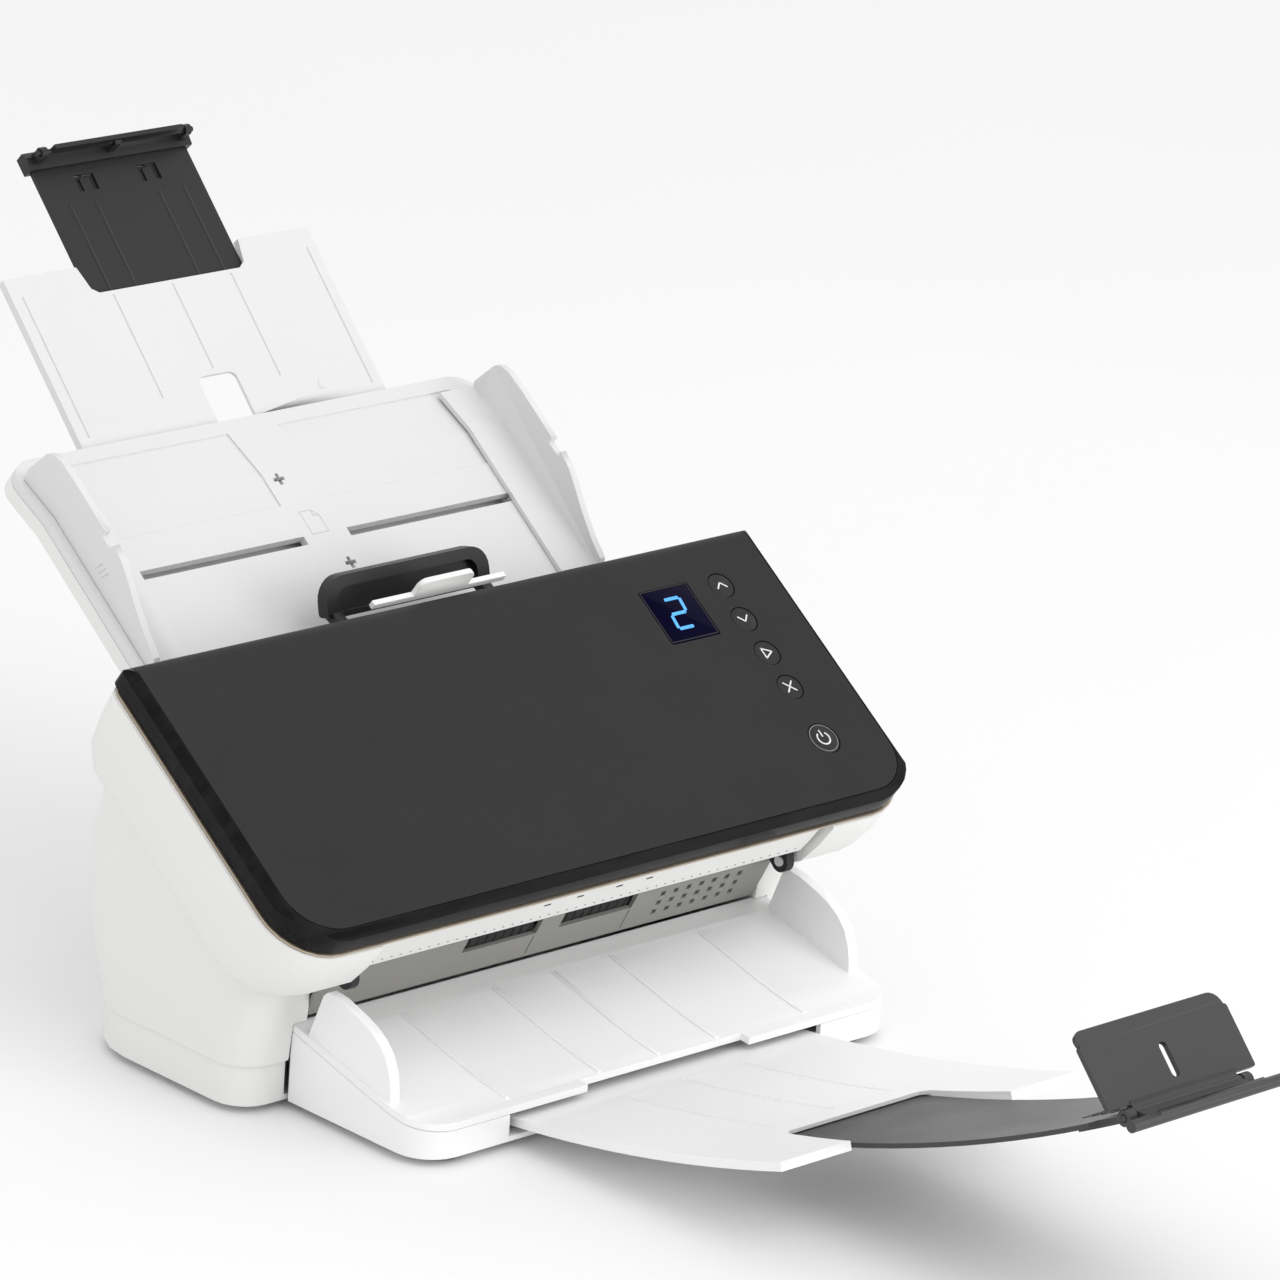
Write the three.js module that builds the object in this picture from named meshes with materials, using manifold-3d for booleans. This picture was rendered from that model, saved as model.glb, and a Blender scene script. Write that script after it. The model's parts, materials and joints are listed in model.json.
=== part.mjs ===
// Desktop sheet-fed document scanner: separate named sub-parts in one frame.
// Millimetres, X to the right, Y to the back, Z up, the table at Z = 0.
import * as THREE from "three";
import { mergeVertices } from "three/addons/utils/BufferGeometryUtils.js";
import Module from "manifold-3d";

const wasm = await Module();
wasm.setup();

// ---------------------------------------------------------------- driving dimensions
const SHIFT_Y = -0.5; // puts the middle of the whole length on Y = 0
const GAP = 0.3; // air between neighbouring pieces
const WALL = 2.6; // moulded wall

const PANEL_SLOPE = 35.35; // fall of the control panel towards the front, degrees
const PANEL_ZERO = [83.0, 151.9]; // Y, Z where the panel's own measure starts
const FACE_HALF = 150.4; // matte panel
const FACE_END = 114.8;
const RIM_HALF = 154.2; // gloss rim round it
const RIM_END = 118.4;
const RIM_BACK = -9.0;
const RIM_DEPTH = 9.8;
const ROLL = 6.0; // rolled top edge of the panel
const CHAMFER = 3.0;
const SHELL_TOP = RIM_DEPTH + 1.6; // depth under the panel where the white shells start
const CORE_HALF = 112.0; // plane between the side shells and the middle of the body
const COVER_HALF = 110.2; // inner part of the front cover

const PATH_TOP = [117.0, 128.0]; // paper path, upper and lower end (Y, Z)
const PATH_END = [24.0, 52.75];
const PATH_LENGTH = Math.hypot(PATH_TOP[0] - PATH_END[0], PATH_TOP[1] - PATH_END[1]);
const FEED_AT = 24;
const DRIVE_AT = 46;
const EXIT_AT = 113.5;
const LOWER_SENSOR_AT = 66;
const UPPER_SENSOR_AT = 80;
const FEED_R = 11;
const DRIVE_R = 7;
const EXIT_R = 8;
const PROUD = 0.8; // how far the rollers stand out of the guide
const SHAFT_R = 3;

const BASE_BOTTOM = 3.0;
const BASE_TOP = 18.4;
const BASE_HALF = 139.6;
const BASE_FRONT = 33.0;
const BASE_REAR = 127.0;

const TRAY_HALF = 118.0; // output tray
const TRAY_FRONT = -41.6;
const TRAY_REAR = 31.6;
const EXT_R = 678.0; // radius of the curved output extensions
const EXT_Y = 37.9; // their common centre
const EXT_Z = 684.5;
const EXT_1_HALF = 74.0;
const EXT_2_HALF = 35.2;

const HOPPER_SLOPE = 37.0; // input tray
const HOPPER_ZERO = [122.0, 133.6];
const HOPPER_HALF = 115.0;
const HOPPER_BEND = 75.0; // distance up the tray to the crease
const HOPPER_END = 104.5;
const BEND_DROP = 9.5; // the part above the crease lies back by this angle
const SLOT_AT = 43.4; // line of the guide slots
const IN_SLOPE = 46.0; // input extensions
const IN_ZERO = [212.0, 192.4];
const IN_1_HALF = 75.0;
const IN_2_HALF = 38.0;
const GUIDE_X = 109.0; // inner face of a side guide, fully out

// ---------------------------------------------------------------- helpers
const rad = THREE.MathUtils.degToRad;

// A three.js geometry as a solid for the boolean kernel.
function solid(geometry) {
  const flat = geometry.index ? geometry.toNonIndexed() : geometry;
  const bare = new THREE.BufferGeometry();
  bare.setAttribute("position", flat.getAttribute("position").clone());
  const merged = mergeVertices(bare, 1e-4);
  return new wasm.Manifold(
    new wasm.Mesh({
      numProp: 3,
      vertProperties: merged.attributes.position.array,
      triVerts: new Uint32Array(merged.index.array),
    }),
  );
}

// A solid back as a three.js geometry.
function surface(body) {
  const mesh = body.getMesh();
  const geometry = new THREE.BufferGeometry();
  const places = new Float32Array(mesh.numVert * 3);
  for (let i = 0; i < mesh.numVert; i++) {
    for (let k = 0; k < 3; k++) {
      places[3 * i + k] = mesh.vertProperties[i * mesh.numProp + k];
    }
  }
  geometry.setAttribute("position", new THREE.BufferAttribute(places, 3));
  geometry.setIndex(new THREE.BufferAttribute(new Uint32Array(mesh.triVerts), 1));
  const shown = geometry.toNonIndexed();
  shown.computeVertexNormals();
  return shown;
}

const add = (first, ...rest) => rest.reduce((sum, next) => sum.add(next), first);
const cut = (first, ...rest) => rest.reduce((left, next) => left.subtract(next), first);
const common = (first, ...rest) => rest.reduce((left, next) => left.intersect(next), first);

// The same solid after a placement.
const placed = (body, matrix) => solid(surface(body).applyMatrix4(matrix));

// A frame whose second axis runs along a slope in the YZ plane.
function slopeFrame([y, z], along, across) {
  return new THREE.Matrix4()
    .makeBasis(
      new THREE.Vector3(1, 0, 0),
      new THREE.Vector3(0, along[0], along[1]),
      new THREE.Vector3(0, across[0], across[1]),
    )
    .setPosition(0, y, z);
}

// Panel frame: X, distance down the panel, depth under it.
const panelFrame = slopeFrame(
  PANEL_ZERO,
  [-Math.cos(rad(PANEL_SLOPE)), -Math.sin(rad(PANEL_SLOPE))],
  [Math.sin(rad(PANEL_SLOPE)), -Math.cos(rad(PANEL_SLOPE))],
);
// Input tray frame: X, distance up the tray, height over it.
const hopperFrame = slopeFrame(
  HOPPER_ZERO,
  [Math.cos(rad(HOPPER_SLOPE)), Math.sin(rad(HOPPER_SLOPE))],
  [-Math.sin(rad(HOPPER_SLOPE)), Math.cos(rad(HOPPER_SLOPE))],
);
// Input extension frame, the same way round.
const inFrame = slopeFrame(
  IN_ZERO,
  [Math.cos(rad(IN_SLOPE)), Math.sin(rad(IN_SLOPE))],
  [-Math.sin(rad(IN_SLOPE)), Math.cos(rad(IN_SLOPE))],
);
// Paper path frame: X, distance down the path, depth under it.
const pathWay = [
  (PATH_END[0] - PATH_TOP[0]) / PATH_LENGTH,
  (PATH_END[1] - PATH_TOP[1]) / PATH_LENGTH,
];
const pathFrame = slopeFrame(PATH_TOP, pathWay, [-pathWay[1], pathWay[0]]);

// A point of a slope frame as Y, Z.
function pointOf(frame, along, across) {
  const p = new THREE.Vector3(0, along, across).applyMatrix4(frame);
  return [p.y, p.z];
}

function block(x0, x1, y0, y1, z0, z1) {
  const geometry = new THREE.BoxGeometry(x1 - x0, y1 - y0, z1 - z0);
  return solid(geometry.translate((x0 + x1) / 2, (y0 + y1) / 2, (z0 + z1) / 2));
}

function outline(points) {
  return new THREE.Shape(points.map(([a, b]) => new THREE.Vector2(a, b)));
}

// An outline in the XY plane raised from z0 to z1.
function slab(points, z0, z1) {
  const shape = points instanceof THREE.Shape ? points : outline(points);
  const options = { depth: z1 - z0, bevelEnabled: false, curveSegments: 6 };
  return solid(new THREE.ExtrudeGeometry(shape, options).translate(0, 0, z0));
}

// A side profile (second and third axis) stretched along X.
const PROFILE = new THREE.Matrix4().makeBasis(
  new THREE.Vector3(0, 1, 0),
  new THREE.Vector3(0, 0, 1),
  new THREE.Vector3(1, 0, 0),
);
function profile(points, x0, x1) {
  return solid(surface(slab(points, x0, x1)).applyMatrix4(PROFILE));
}

// A rod along X with its middle at (y, z).
function rod(radius, x0, x1, y, z, sides = 24) {
  const geometry = new THREE.CylinderGeometry(radius, radius, x1 - x0, sides);
  geometry.rotateZ(Math.PI / 2).translate((x0 + x1) / 2, y, z);
  return solid(geometry);
}

// An upright rod.
function post(radius, x, y, z0, z1, sides = 24) {
  const geometry = new THREE.CylinderGeometry(radius, radius, z1 - z0, sides);
  return solid(geometry.rotateX(Math.PI / 2).translate(x, y, (z0 + z1) / 2));
}

// Points on an arc from angle a to angle b.
function arc(cx, cy, radius, a, b, count) {
  const points = [];
  for (let i = 0; i <= count; i++) {
    const t = rad(a + ((b - a) * i) / count);
    points.push([cx + radius * Math.cos(t), cy + radius * Math.sin(t)]);
  }
  return points;
}

// A rectangle with its four corners rounded: low left, low right, high right, high left.
function roundRect(x0, x1, y0, y1, radii, count = 5) {
  const [a, b, c, d] = radii;
  return [
    ...arc(x0 + a, y0 + a, a, 180, 270, count),
    ...arc(x1 - b, y0 + b, b, 270, 360, count),
    ...arc(x1 - c, y1 - c, c, 0, 90, count),
    ...arc(x0 + d, y1 - d, d, 90, 180, count),
  ];
}

// A body skinned over a stack of rings that all hold the same number of points.
function loft(rings) {
  const count = rings[0].length;
  const places = rings.flat(2);
  const index = [];
  for (let k = 0; k < rings.length - 1; k++) {
    for (let i = 0; i < count; i++) {
      const a = k * count + i;
      const b = k * count + ((i + 1) % count);
      index.push(a, b, b + count, a, b + count, a + count);
    }
  }
  const last = (rings.length - 1) * count;
  for (let i = 1; i < count - 1; i++) {
    index.push(0, i + 1, i, last, last + i, last + i + 1);
  }
  const geometry = new THREE.BufferGeometry();
  geometry.setAttribute("position", new THREE.Float32BufferAttribute(places, 3));
  geometry.setIndex(index);
  return solid(geometry);
}

// A ring of a loft: a rounded rectangle at one height.
function ring(half, y0, y1, low, high, z) {
  return roundRect(-half, half, y0, y1, [low, low, high, high]).map(([x, y]) => [x, y, z]);
}

// A toothed wheel round an axis along X, without its bore.
function toothed(teeth, x0, x1, y, z, turn) {
  const pitch = teeth / 2;
  const step = (2 * Math.PI) / teeth;
  const corners = [
    [pitch - 1.15, -0.3],
    [pitch + 0.75, -0.11],
    [pitch + 0.75, 0.11],
    [pitch - 1.15, 0.3],
  ];
  const points = [];
  for (let i = 0; i < teeth; i++) {
    for (const [radius, share] of corners) {
      const angle = rad(turn) + (i + share) * step;
      points.push([y + radius * Math.cos(angle), z + radius * Math.sin(angle)]);
    }
  }
  return profile(points, x0, x1);
}

function gear(teeth, x0, x1, y, z, turn, bore) {
  return cut(toothed(teeth, x0, x1, y, z, turn), rod(bore, x0 - 1, x1 + 1, y, z, 16));
}

const group = new THREE.Group();
const MATERIALS = {
  white: [0xe9e9e8, 0.5, 0],
  black: [0x2f3032, 0.55, 0],
  gloss: [0x0c0c0d, 0.15, 0],
  metalTrim: [0xb9ab98, 0.3, 0.8],
  grey: [0x8b8d8e, 0.55, 0],
  dark: [0x3a3b3d, 0.6, 0],
  rubber: [0x1d1d1e, 0.9, 0],
  steel: [0xb8bbbd, 0.3, 1],
  nylon: [0xe4e0d2, 0.5, 0],
  glass: [0x101a3a, 0.08, 0],
  board: [0x1f5a38, 0.5, 0],
};

// Names a solid, gives it its finish and puts it in the part.
function part(name, finish, body, frame) {
  const [color, roughness, metalness] = MATERIALS[finish];
  const material = new THREE.MeshStandardMaterial({ color, roughness, metalness });
  const mesh = new THREE.Mesh(surface(body), material);
  mesh.name = name;
  if (frame) {
    mesh.applyMatrix4(frame);
  }
  group.add(mesh);
}

// ---------------------------------------------------------------- body shells
// The slanted pod under the panel, drawn in the panel frame, grown inwards by `inset`.
function pod(inset, top) {
  const level = (half, back, front, low, high, depth) =>
    ring(half - inset, back + inset, front - inset, low, high, depth);
  return loft([
    level(156.2, -7.6, 119.6, 6, 24, top),
    level(156.6, -6.6, 119.2, 7, 24, 24),
    level(156.2, -4.8, 117.2, 8, 24, 36 - inset / 2),
    level(153.6, -2.4, 112.6, 10, 24, 44 - inset),
    level(148.6, 1.5, 105, 12, 24, 49.5 - inset),
    level(143.0, 6, 98, 14, 24, 52.5 - inset),
  ]);
}

// The upright pedestal under the pod.
function pedestal(inset, bottom) {
  const level = (half, front, rear, z) =>
    ring(half - inset, front + inset, rear - inset, 14, 31, z);
  return loft([
    level(140.4, 31.5, 127.5, bottom),
    level(141.6, 29.5, 132.0, 38),
    level(144.2, 29.0, 133.6, 60),
    level(146.4, 46.0, 130.6, 84),
    level(146.4, 66.0, 124.5, 106 - inset / 2),
    level(142.6, 74.0, 119.0, 116 - inset),
  ]);
}

function outerBody() {
  return add(placed(pod(0, SHELL_TOP), panelFrame), pedestal(0, BASE_TOP + GAP));
}

function innerBody() {
  return add(
    placed(pod(WALL, SHELL_TOP + WALL), panelFrame),
    pedestal(WALL, BASE_TOP - 2),
  );
}

// Room for the output tray's housing between the shells.
function trayRoom() {
  const side = TRAY_HALF + GAP + 0.1;
  const roof = [
    [-60, -5],
    [TRAY_REAR + 1.4, -5],
    [TRAY_REAR + 1.4, 33.2],
    [23, 32.4],
    [9, 52],
    [-60, 52],
  ];
  return profile(roof, -side, side);
}

function sideShell(name, sign, outer, inner) {
  const span = (a, b, ...rest) => block(Math.min(a * sign, b * sign), Math.max(a * sign, b * sign), ...rest);
  const all = [-120, 220, -5, 260];
  const relief = placed(
    cut(
      block(-200, 200, COVER_PIVOT[0], 150, 4, COVER_PIVOT[1]),
      rod(28.4, -201, 201, ...COVER_PIVOT, 72),
    ),
    panelFrame,
  );
  const [y, z] = pointOf(panelFrame, ...COVER_PIVOT);
  const pins = rod(2, Math.min(106 * sign, 113 * sign), Math.max(106 * sign, 113 * sign), y, z, 16);
  let shell = cut(
    common(outer, span(CORE_HALF, 200, ...all)),
    common(inner, span(CORE_HALF + WALL, 200, ...all)),
    trayRoom(),
    relief,
  );
  if (sign > 0) {
    const bores = [FEED_AXIS, DRIVE_AXIS].map((axis) => rod(3.6, 111, 116, ...axis, 16));
    shell = cut(
      shell,
      ...bores,
      rod(9.4, 111, 116, ...CROSS_AXIS, 20),
      rod(3, 111, 116, ...MOTOR_AXIS, 16),
    );
    const posts = [MAIN_AXIS, IDLER_AXIS].map((axis) => rod(2, 113, 125, ...axis, 16));
    shell = add(shell, ...posts);
  }
  part(name, "white", add(shell, pins));
}

// Middle of a roller that stands proud of the paper path.
function pathAxis(along, radius) {
  return pointOf(pathFrame, along, radius - PROUD);
}

// ---------------------------------------------------------------- drive train layout
const FEED_AXIS = pathAxis(FEED_AT, FEED_R);
const DRIVE_AXIS = pathAxis(DRIVE_AT, DRIVE_R);
const EXIT_AXIS = pathAxis(EXIT_AT, EXIT_R);
const FEED_TEETH = 14;
const DRIVE_TEETH = 16;
const IDLER_TEETH = 14;
const MAIN_TEETH = 48;
const MOTOR_TEETH = 12;
const CROSS_TEETH = 17;
const EXIT_TEETH = 12;
const MESH_SLACK = 0.25; // added to every centre distance
const GEARS_FROM = CORE_HALF + WALL + 3; // gear layer in the right shell
const GEARS_TO = GEARS_FROM + 6;
const EXIT_GEARS = [103.6, 108.6]; // gear layer on the exit shaft

const reach = (m, n) => (m + n) / 2 + MESH_SLACK;

// The point at a distance and a bearing (degrees) from another.
function pointFrom([y, z], distance, bearing) {
  return [y + distance * Math.cos(rad(bearing)), z + distance * Math.sin(rad(bearing))];
}

// Where two wheels' circles round a and b meet, on the left of a to b when side is 1.
function meshPoint(a, ra, b, rb, side) {
  const d = Math.hypot(b[0] - a[0], b[1] - a[1]);
  const u = [(b[0] - a[0]) / d, (b[1] - a[1]) / d];
  const along = (d * d + ra * ra - rb * rb) / (2 * d);
  const off = side * Math.sqrt(ra * ra - along * along);
  return [a[0] + u[0] * along - u[1] * off, a[1] + u[1] * along + u[0] * off];
}

const IDLER_AXIS = meshPoint(
  FEED_AXIS,
  reach(FEED_TEETH, IDLER_TEETH),
  DRIVE_AXIS,
  reach(DRIVE_TEETH, IDLER_TEETH),
  1,
);
const CROSS_AXIS = pointFrom(EXIT_AXIS, reach(EXIT_TEETH, EXIT_TEETH), -20);
const MOTOR_AXIS = pointFrom(CROSS_AXIS, reach(CROSS_TEETH, MOTOR_TEETH), -30);
const MAIN_AXIS = meshPoint(
  MOTOR_AXIS,
  reach(MOTOR_TEETH, MAIN_TEETH),
  DRIVE_AXIS,
  reach(DRIVE_TEETH, MAIN_TEETH),
  -1,
);

// Turn of a wheel (degrees) that puts one of its gaps on the other wheel's tooth.
function meshTurn(from, fromTeeth, fromTurn, to, teeth) {
  const line = Math.atan2(to[1] - from[1], to[0] - from[0]);
  const phase = ((line - rad(fromTurn)) * fromTeeth) / (2 * Math.PI);
  const share = phase - Math.round(phase);
  const step = (2 * Math.PI) / teeth;
  return THREE.MathUtils.radToDeg(line + Math.PI + step * (0.5 + share));
}

function gears() {
  const layer = [GEARS_FROM, GEARS_TO];
  const driveTurn = 0;
  const mainTurn = meshTurn(DRIVE_AXIS, DRIVE_TEETH, driveTurn, MAIN_AXIS, MAIN_TEETH);
  const motorTurn = meshTurn(MAIN_AXIS, MAIN_TEETH, mainTurn, MOTOR_AXIS, MOTOR_TEETH);
  const crossTurn = meshTurn(MOTOR_AXIS, MOTOR_TEETH, motorTurn, CROSS_AXIS, CROSS_TEETH);
  const exitTurn = meshTurn(CROSS_AXIS, EXIT_TEETH, crossTurn, EXIT_AXIS, EXIT_TEETH);
  const idlerTurn = meshTurn(DRIVE_AXIS, DRIVE_TEETH, driveTurn, IDLER_AXIS, IDLER_TEETH);
  const feedTurn = meshTurn(IDLER_AXIS, IDLER_TEETH, idlerTurn, FEED_AXIS, FEED_TEETH);
  const bore = SHAFT_R + GAP;
  part("drive_gear", "nylon", gear(DRIVE_TEETH, ...layer, ...DRIVE_AXIS, driveTurn, bore));
  part("exit_gear", "nylon", gear(EXIT_TEETH, ...EXIT_GEARS, ...EXIT_AXIS, exitTurn, bore));
  part("feed_gear", "nylon", gear(FEED_TEETH, ...layer, ...FEED_AXIS, feedTurn, bore));
  part("feed_idler", "nylon", gear(IDLER_TEETH, ...layer, ...IDLER_AXIS, idlerTurn, 2.3));
  const windows = [0, 90, 180, 270].map((turn) =>
    rod(5.6, GEARS_FROM - 1, GEARS_TO + 1, ...pointFrom(MAIN_AXIS, 13, turn), 12),
  );
  const main = gear(MAIN_TEETH, ...layer, ...MAIN_AXIS, mainTurn, 2.3);
  part("main_gear", "nylon", cut(main, ...windows));
  part("motor_gear", "steel", gear(MOTOR_TEETH, ...layer, ...MOTOR_AXIS, motorTurn, 1.8));
  const cross = add(
    rod(SHAFT_R, 101.4, GEARS_TO + 1.4, ...CROSS_AXIS, 16),
    toothed(CROSS_TEETH, ...layer, ...CROSS_AXIS, crossTurn),
    toothed(EXIT_TEETH, ...EXIT_GEARS, ...CROSS_AXIS, crossTurn),
  );
  part("cross_shaft", "nylon", cross);
}

function motor() {
  const [y, z] = MOTOR_AXIS;
  const can = rod(17, 58, 98.4, y, z, 28);
  const boss = rod(5, 98, 101, y, z, 16);
  const shaft = rod(1.5, 50, GEARS_TO + 0.6, y, z, 12);
  const holes = [-14, 14].flatMap((dy) => [-14, 14].map((dz) => rod(1.6, 97, 101, y + dy, z + dz, 8)));
  const plate = cut(block(98, 99.6, y - 18, y + 18, z - 18, z + 18), ...holes);
  const tail = rod(6, 55, 58.5, y, z, 16);
  part("motor", "steel", add(can, boss, shaft, plate, tail));
}

// ---------------------------------------------------------------- rollers
function roller(name, along, radius, end, tyres) {
  const [y, z] = pathAxis(along, radius);
  part(name + "_shaft", "steel", rod(SHAFT_R, -COVER_HALF + 0.6, end, y, z, 16));
  for (const [label, x0, x1] of tyres) {
    const tyre = cut(rod(radius, x0, x1, y, z, 28), rod(SHAFT_R + GAP, x0 - 1, x1 + 1, y, z, 16));
    part(label, "rubber", tyre);
  }
}

// ---------------------------------------------------------------- paper path frame
function transportFrame() {
  const half = COVER_HALF + 1.4;
  const inner = half - 2.4;
  const end = PATH_LENGTH - 0.6;
  const floor = block(-half, half, 0, end, 0, 3);
  const web = [
    [2, 2],
    [end, 2],
    [end, 25],
    [98, 25],
    [60, 15.5],
    [24, 17],
    [8, 8],
    [2, 5],
  ];
  const webs = [profile(web, -half, -inner), profile(web, inner, half)];
  const opening = (along, radius, x0, x1) =>
    rod(radius + 1.2, x0 - 1.2, x1 + 1.2, along, radius - PROUD, 24);
  const bores = [
    [FEED_AT, FEED_R],
    [DRIVE_AT, DRIVE_R],
    [EXIT_AT, EXIT_R],
  ].map(([along, radius]) => rod(SHAFT_R + GAP, -half - 1, half + 1, along, radius - PROUD, 16));
  const cross = new THREE.Vector3(0, ...CROSS_AXIS).applyMatrix4(pathFrame.clone().invert());
  const body = cut(
    add(floor, ...webs),
    opening(FEED_AT, FEED_R, -22, 22),
    opening(DRIVE_AT, DRIVE_R, -51, -19),
    opening(DRIVE_AT, DRIVE_R, 19, 51),
    opening(EXIT_AT, EXIT_R, -41, -7),
    opening(EXIT_AT, EXIT_R, 7, 41),
    ...bores,
    rod(SHAFT_R + GAP, inner - 1, half + 1, cross.y, cross.z, 16),
    block(EXIT_GEARS[0] - 0.6, inner, EXIT_AT - 7.6, PATH_LENGTH, -1, 4),
    block(-106.3, 106.3, LOWER_SENSOR_AT - 8.3, LOWER_SENSOR_AT + 8.3, -1, 4),
  );
  part("transport_frame", "dark", body, pathFrame);
}

function imageSensor(name, along, depth0, depth1, half) {
  const housing = block(-half, half, along - 8, along + 8, depth0, depth1);
  const [near, far] = depth0 < 0 ? [depth1 - 0.6, depth1 + 1] : [depth0 - 1, depth0 + 0.6];
  const lens = block(-half + 3, half - 3, along - 3, along + 3, near, far);
  part(name, "dark", cut(housing, lens), pathFrame);
}

// Back wall of the paper exit, with slots for the exit rollers and a field of holes.
function exitWall() {
  const top = [22.4, 51.6];
  const bottom = [31.4, 34.2];
  const length = Math.hypot(bottom[0] - top[0], bottom[1] - top[1]);
  const way = [(bottom[0] - top[0]) / length, (bottom[1] - top[1]) / length];
  const frame = slopeFrame(top, way, [-way[1], way[0]]);
  const wall = block(-CORE_HALF + GAP, CORE_HALF - GAP, 0, length, 0, 1.6);
  const slots = [block(-42.4, -5.6, -1, 7.4, -1, 3), block(5.6, 42.4, -1, 7.4, -1, 3)];
  const holes = [];
  for (let row = 0; row < 3; row++) {
    for (let column = 0; column < 7; column++) {
      const x = 57 + column * 6.6;
      const along = 4 + row * 4.8;
      holes.push(block(x - 1.2, x + 1.2, along - 1.2, along + 1.2, -1, 3));
    }
  }
  const seams = [-6, 42].map((x) => block(x - 0.3, x + 0.3, 8.4, length - 1.5, -1, 0.4));
  part("exit_wall", "grey", cut(wall, ...slots, ...holes, ...seams), frame);
}

// ---------------------------------------------------------------- base and rear
function basePan() {
  const wall = ring(BASE_HALF, BASE_FRONT, BASE_REAR, 13, 31, BASE_BOTTOM);
  const lift = (points, z) => points.map(([x, y]) => [x, y, z]);
  const outer = loft([wall, lift(wall, BASE_TOP)]);
  const inside = ring(BASE_HALF - 2.6, BASE_FRONT + 2.6, BASE_REAR - 2.6, 11, 28.6, 0);
  const inner = loft([lift(inside, BASE_BOTTOM + 2), lift(inside, BASE_TOP + 1)]);
  const channel = block(-EXT_1_HALF - 1.6, EXT_1_HALF + 1.6, 20, 92, 0, 12);
  const doorway = block(-TRAY_HALF - GAP, TRAY_HALF + GAP, 20, BASE_FRONT + 4, BASE_BOTTOM + 2, 30);
  const bosses = [
    [-128, 60],
    [128, 60],
    [-104, 112],
    [104, 112],
  ].map(([x, y]) =>
    cut(
      post(4.2, x, y, BASE_BOTTOM + 1, BASE_TOP - 3, 20),
      post(1.6, x, y, BASE_BOTTOM + 6, BASE_TOP, 12),
    ),
  );
  part("base_pan", "white", add(cut(outer, inner, channel, doorway), ...bosses));
}

function foot(name, x, y) {
  const profilePoints = [
    new THREE.Vector2(0, 0),
    new THREE.Vector2(6.4, 0),
    new THREE.Vector2(7.4, 0.9),
    new THREE.Vector2(7.8, BASE_BOTTOM - GAP / 2),
    new THREE.Vector2(0, BASE_BOTTOM - GAP / 2),
  ];
  const geometry = new THREE.LatheGeometry(profilePoints, 24).rotateX(Math.PI / 2);
  part(name, "rubber", solid(geometry.translate(x, y, 0)));
}

function rearCover(outer, inner) {
  const half = CORE_HALF - GAP;
  const rearSpan = block(-half, half, 100, 200, 10, 104);
  const skin = cut(common(outer, rearSpan), inner);
  const hump = [
    [119.5, 100],
    [133.0, 88],
    [133.0, 112],
    [127, 121],
    [119.5, 121],
  ];
  const room = [
    [112, 90],
    [130.4, 84],
    [130.4, 111],
    [125.8, 118.4],
    [112, 118.4],
  ];
  const shelf = cut(profile(hump, -half, half), profile(room, -half + WALL, half - WALL));
  const [hingeY, hingeZ] = pointOf(hopperFrame, ...HINGE_AXIS);
  const lugs = [-106, -77.4, 74.0, 102.6].map((x) =>
    add(
      rod(3.8, x, x + 3.4, hingeY, hingeZ, 16),
      block(x, x + 3.4, hingeY - 3.8, hingeY + 3.8, 118.6, hingeZ),
    ),
  );
  const pins = [-106, 74].map((x) => rod(1.2, x + 1, x + 31, hingeY, hingeZ, 12));
  const vents = [];
  for (let i = 0; i < 8; i++) {
    vents.push(block(-60 + i * 7, -57 + i * 7, 124, 140, 62, 84));
  }
  const ports = [
    block(58.6, 71.4, 120, 140, 29.6, 40.4),
    block(82.6, 95.4, 120, 140, 28.6, 41.4),
    block(-96.2, -88.8, 120, 140, 31.6, 35.4),
  ];
  part("rear_cover", "white", cut(add(skin, shelf, ...lugs, ...pins), ...vents, ...ports));
}

function electronics() {
  const board = block(-98, 58, 106, 107.6, 22, 62);
  const chips = [
    block(-60, -42, 107.4, 109.2, 32, 50),
    block(-20, -8, 107.4, 109.0, 36, 48),
    block(20, 32, 107.4, 112.0, 26, 34),
    block(-92, -78, 107.4, 113.0, 48, 56),
  ];
  part("main_board", "board", add(board, ...chips));
  const usb = cut(block(58.9, 71.1, 112, 129.6, 29.9, 40.1), block(60.3, 69.7, 114, 131, 31.2, 38.8));
  const tongue = block(62.4, 67.6, 113, 126, 33.8, 36.4);
  part("usb_port", "steel", add(usb, tongue));
  const jack = cut(
    block(82.9, 95.1, 112, 129.6, 28.9, 41.1),
    solid(
      new THREE.CylinderGeometry(4.2, 4.2, 14, 24).translate(89, 124.5, 35),
    ),
  );
  const pin = solid(new THREE.CylinderGeometry(1, 1, 12, 12).translate(89, 121, 35));
  part("dc_inlet", "black", add(jack, pin));
}

// ---------------------------------------------------------------- front cover
// The whole black panel with its rolled top edge and chamfered border, in the panel frame.
function panelBlank(depth) {
  const plan = roundRect(-RIM_HALF, RIM_HALF, RIM_BACK, RIM_END, [3, 3, 22, 22], 7);
  const side = [
    [RIM_END, CHAMFER],
    [RIM_END, depth],
    [RIM_BACK, depth],
    ...arc(RIM_BACK + ROLL, ROLL, ROLL, 180, 270, 6),
    [RIM_END - CHAMFER, 0],
  ];
  const across = [
    [-RIM_HALF, CHAMFER],
    [-RIM_HALF + CHAMFER, 0],
    [RIM_HALF - CHAMFER, 0],
    [RIM_HALF, CHAMFER],
    [RIM_HALF, depth],
    [-RIM_HALF, depth],
  ];
  const band = new THREE.Matrix4().makeRotationX(-Math.PI / 2);
  const wide = solid(
    surface(slab(across.map(([x, h]) => [x, -h]).reverse(), -40, 160))
      .applyMatrix4(band),
  );
  return common(slab(plan, 0, depth), profile(side, -RIM_HALF, RIM_HALF), wide);
}

function facePlan(half, end, radius) {
  return roundRect(-half, half, -30, end, [1, 1, radius, radius], 7);
}

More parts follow.
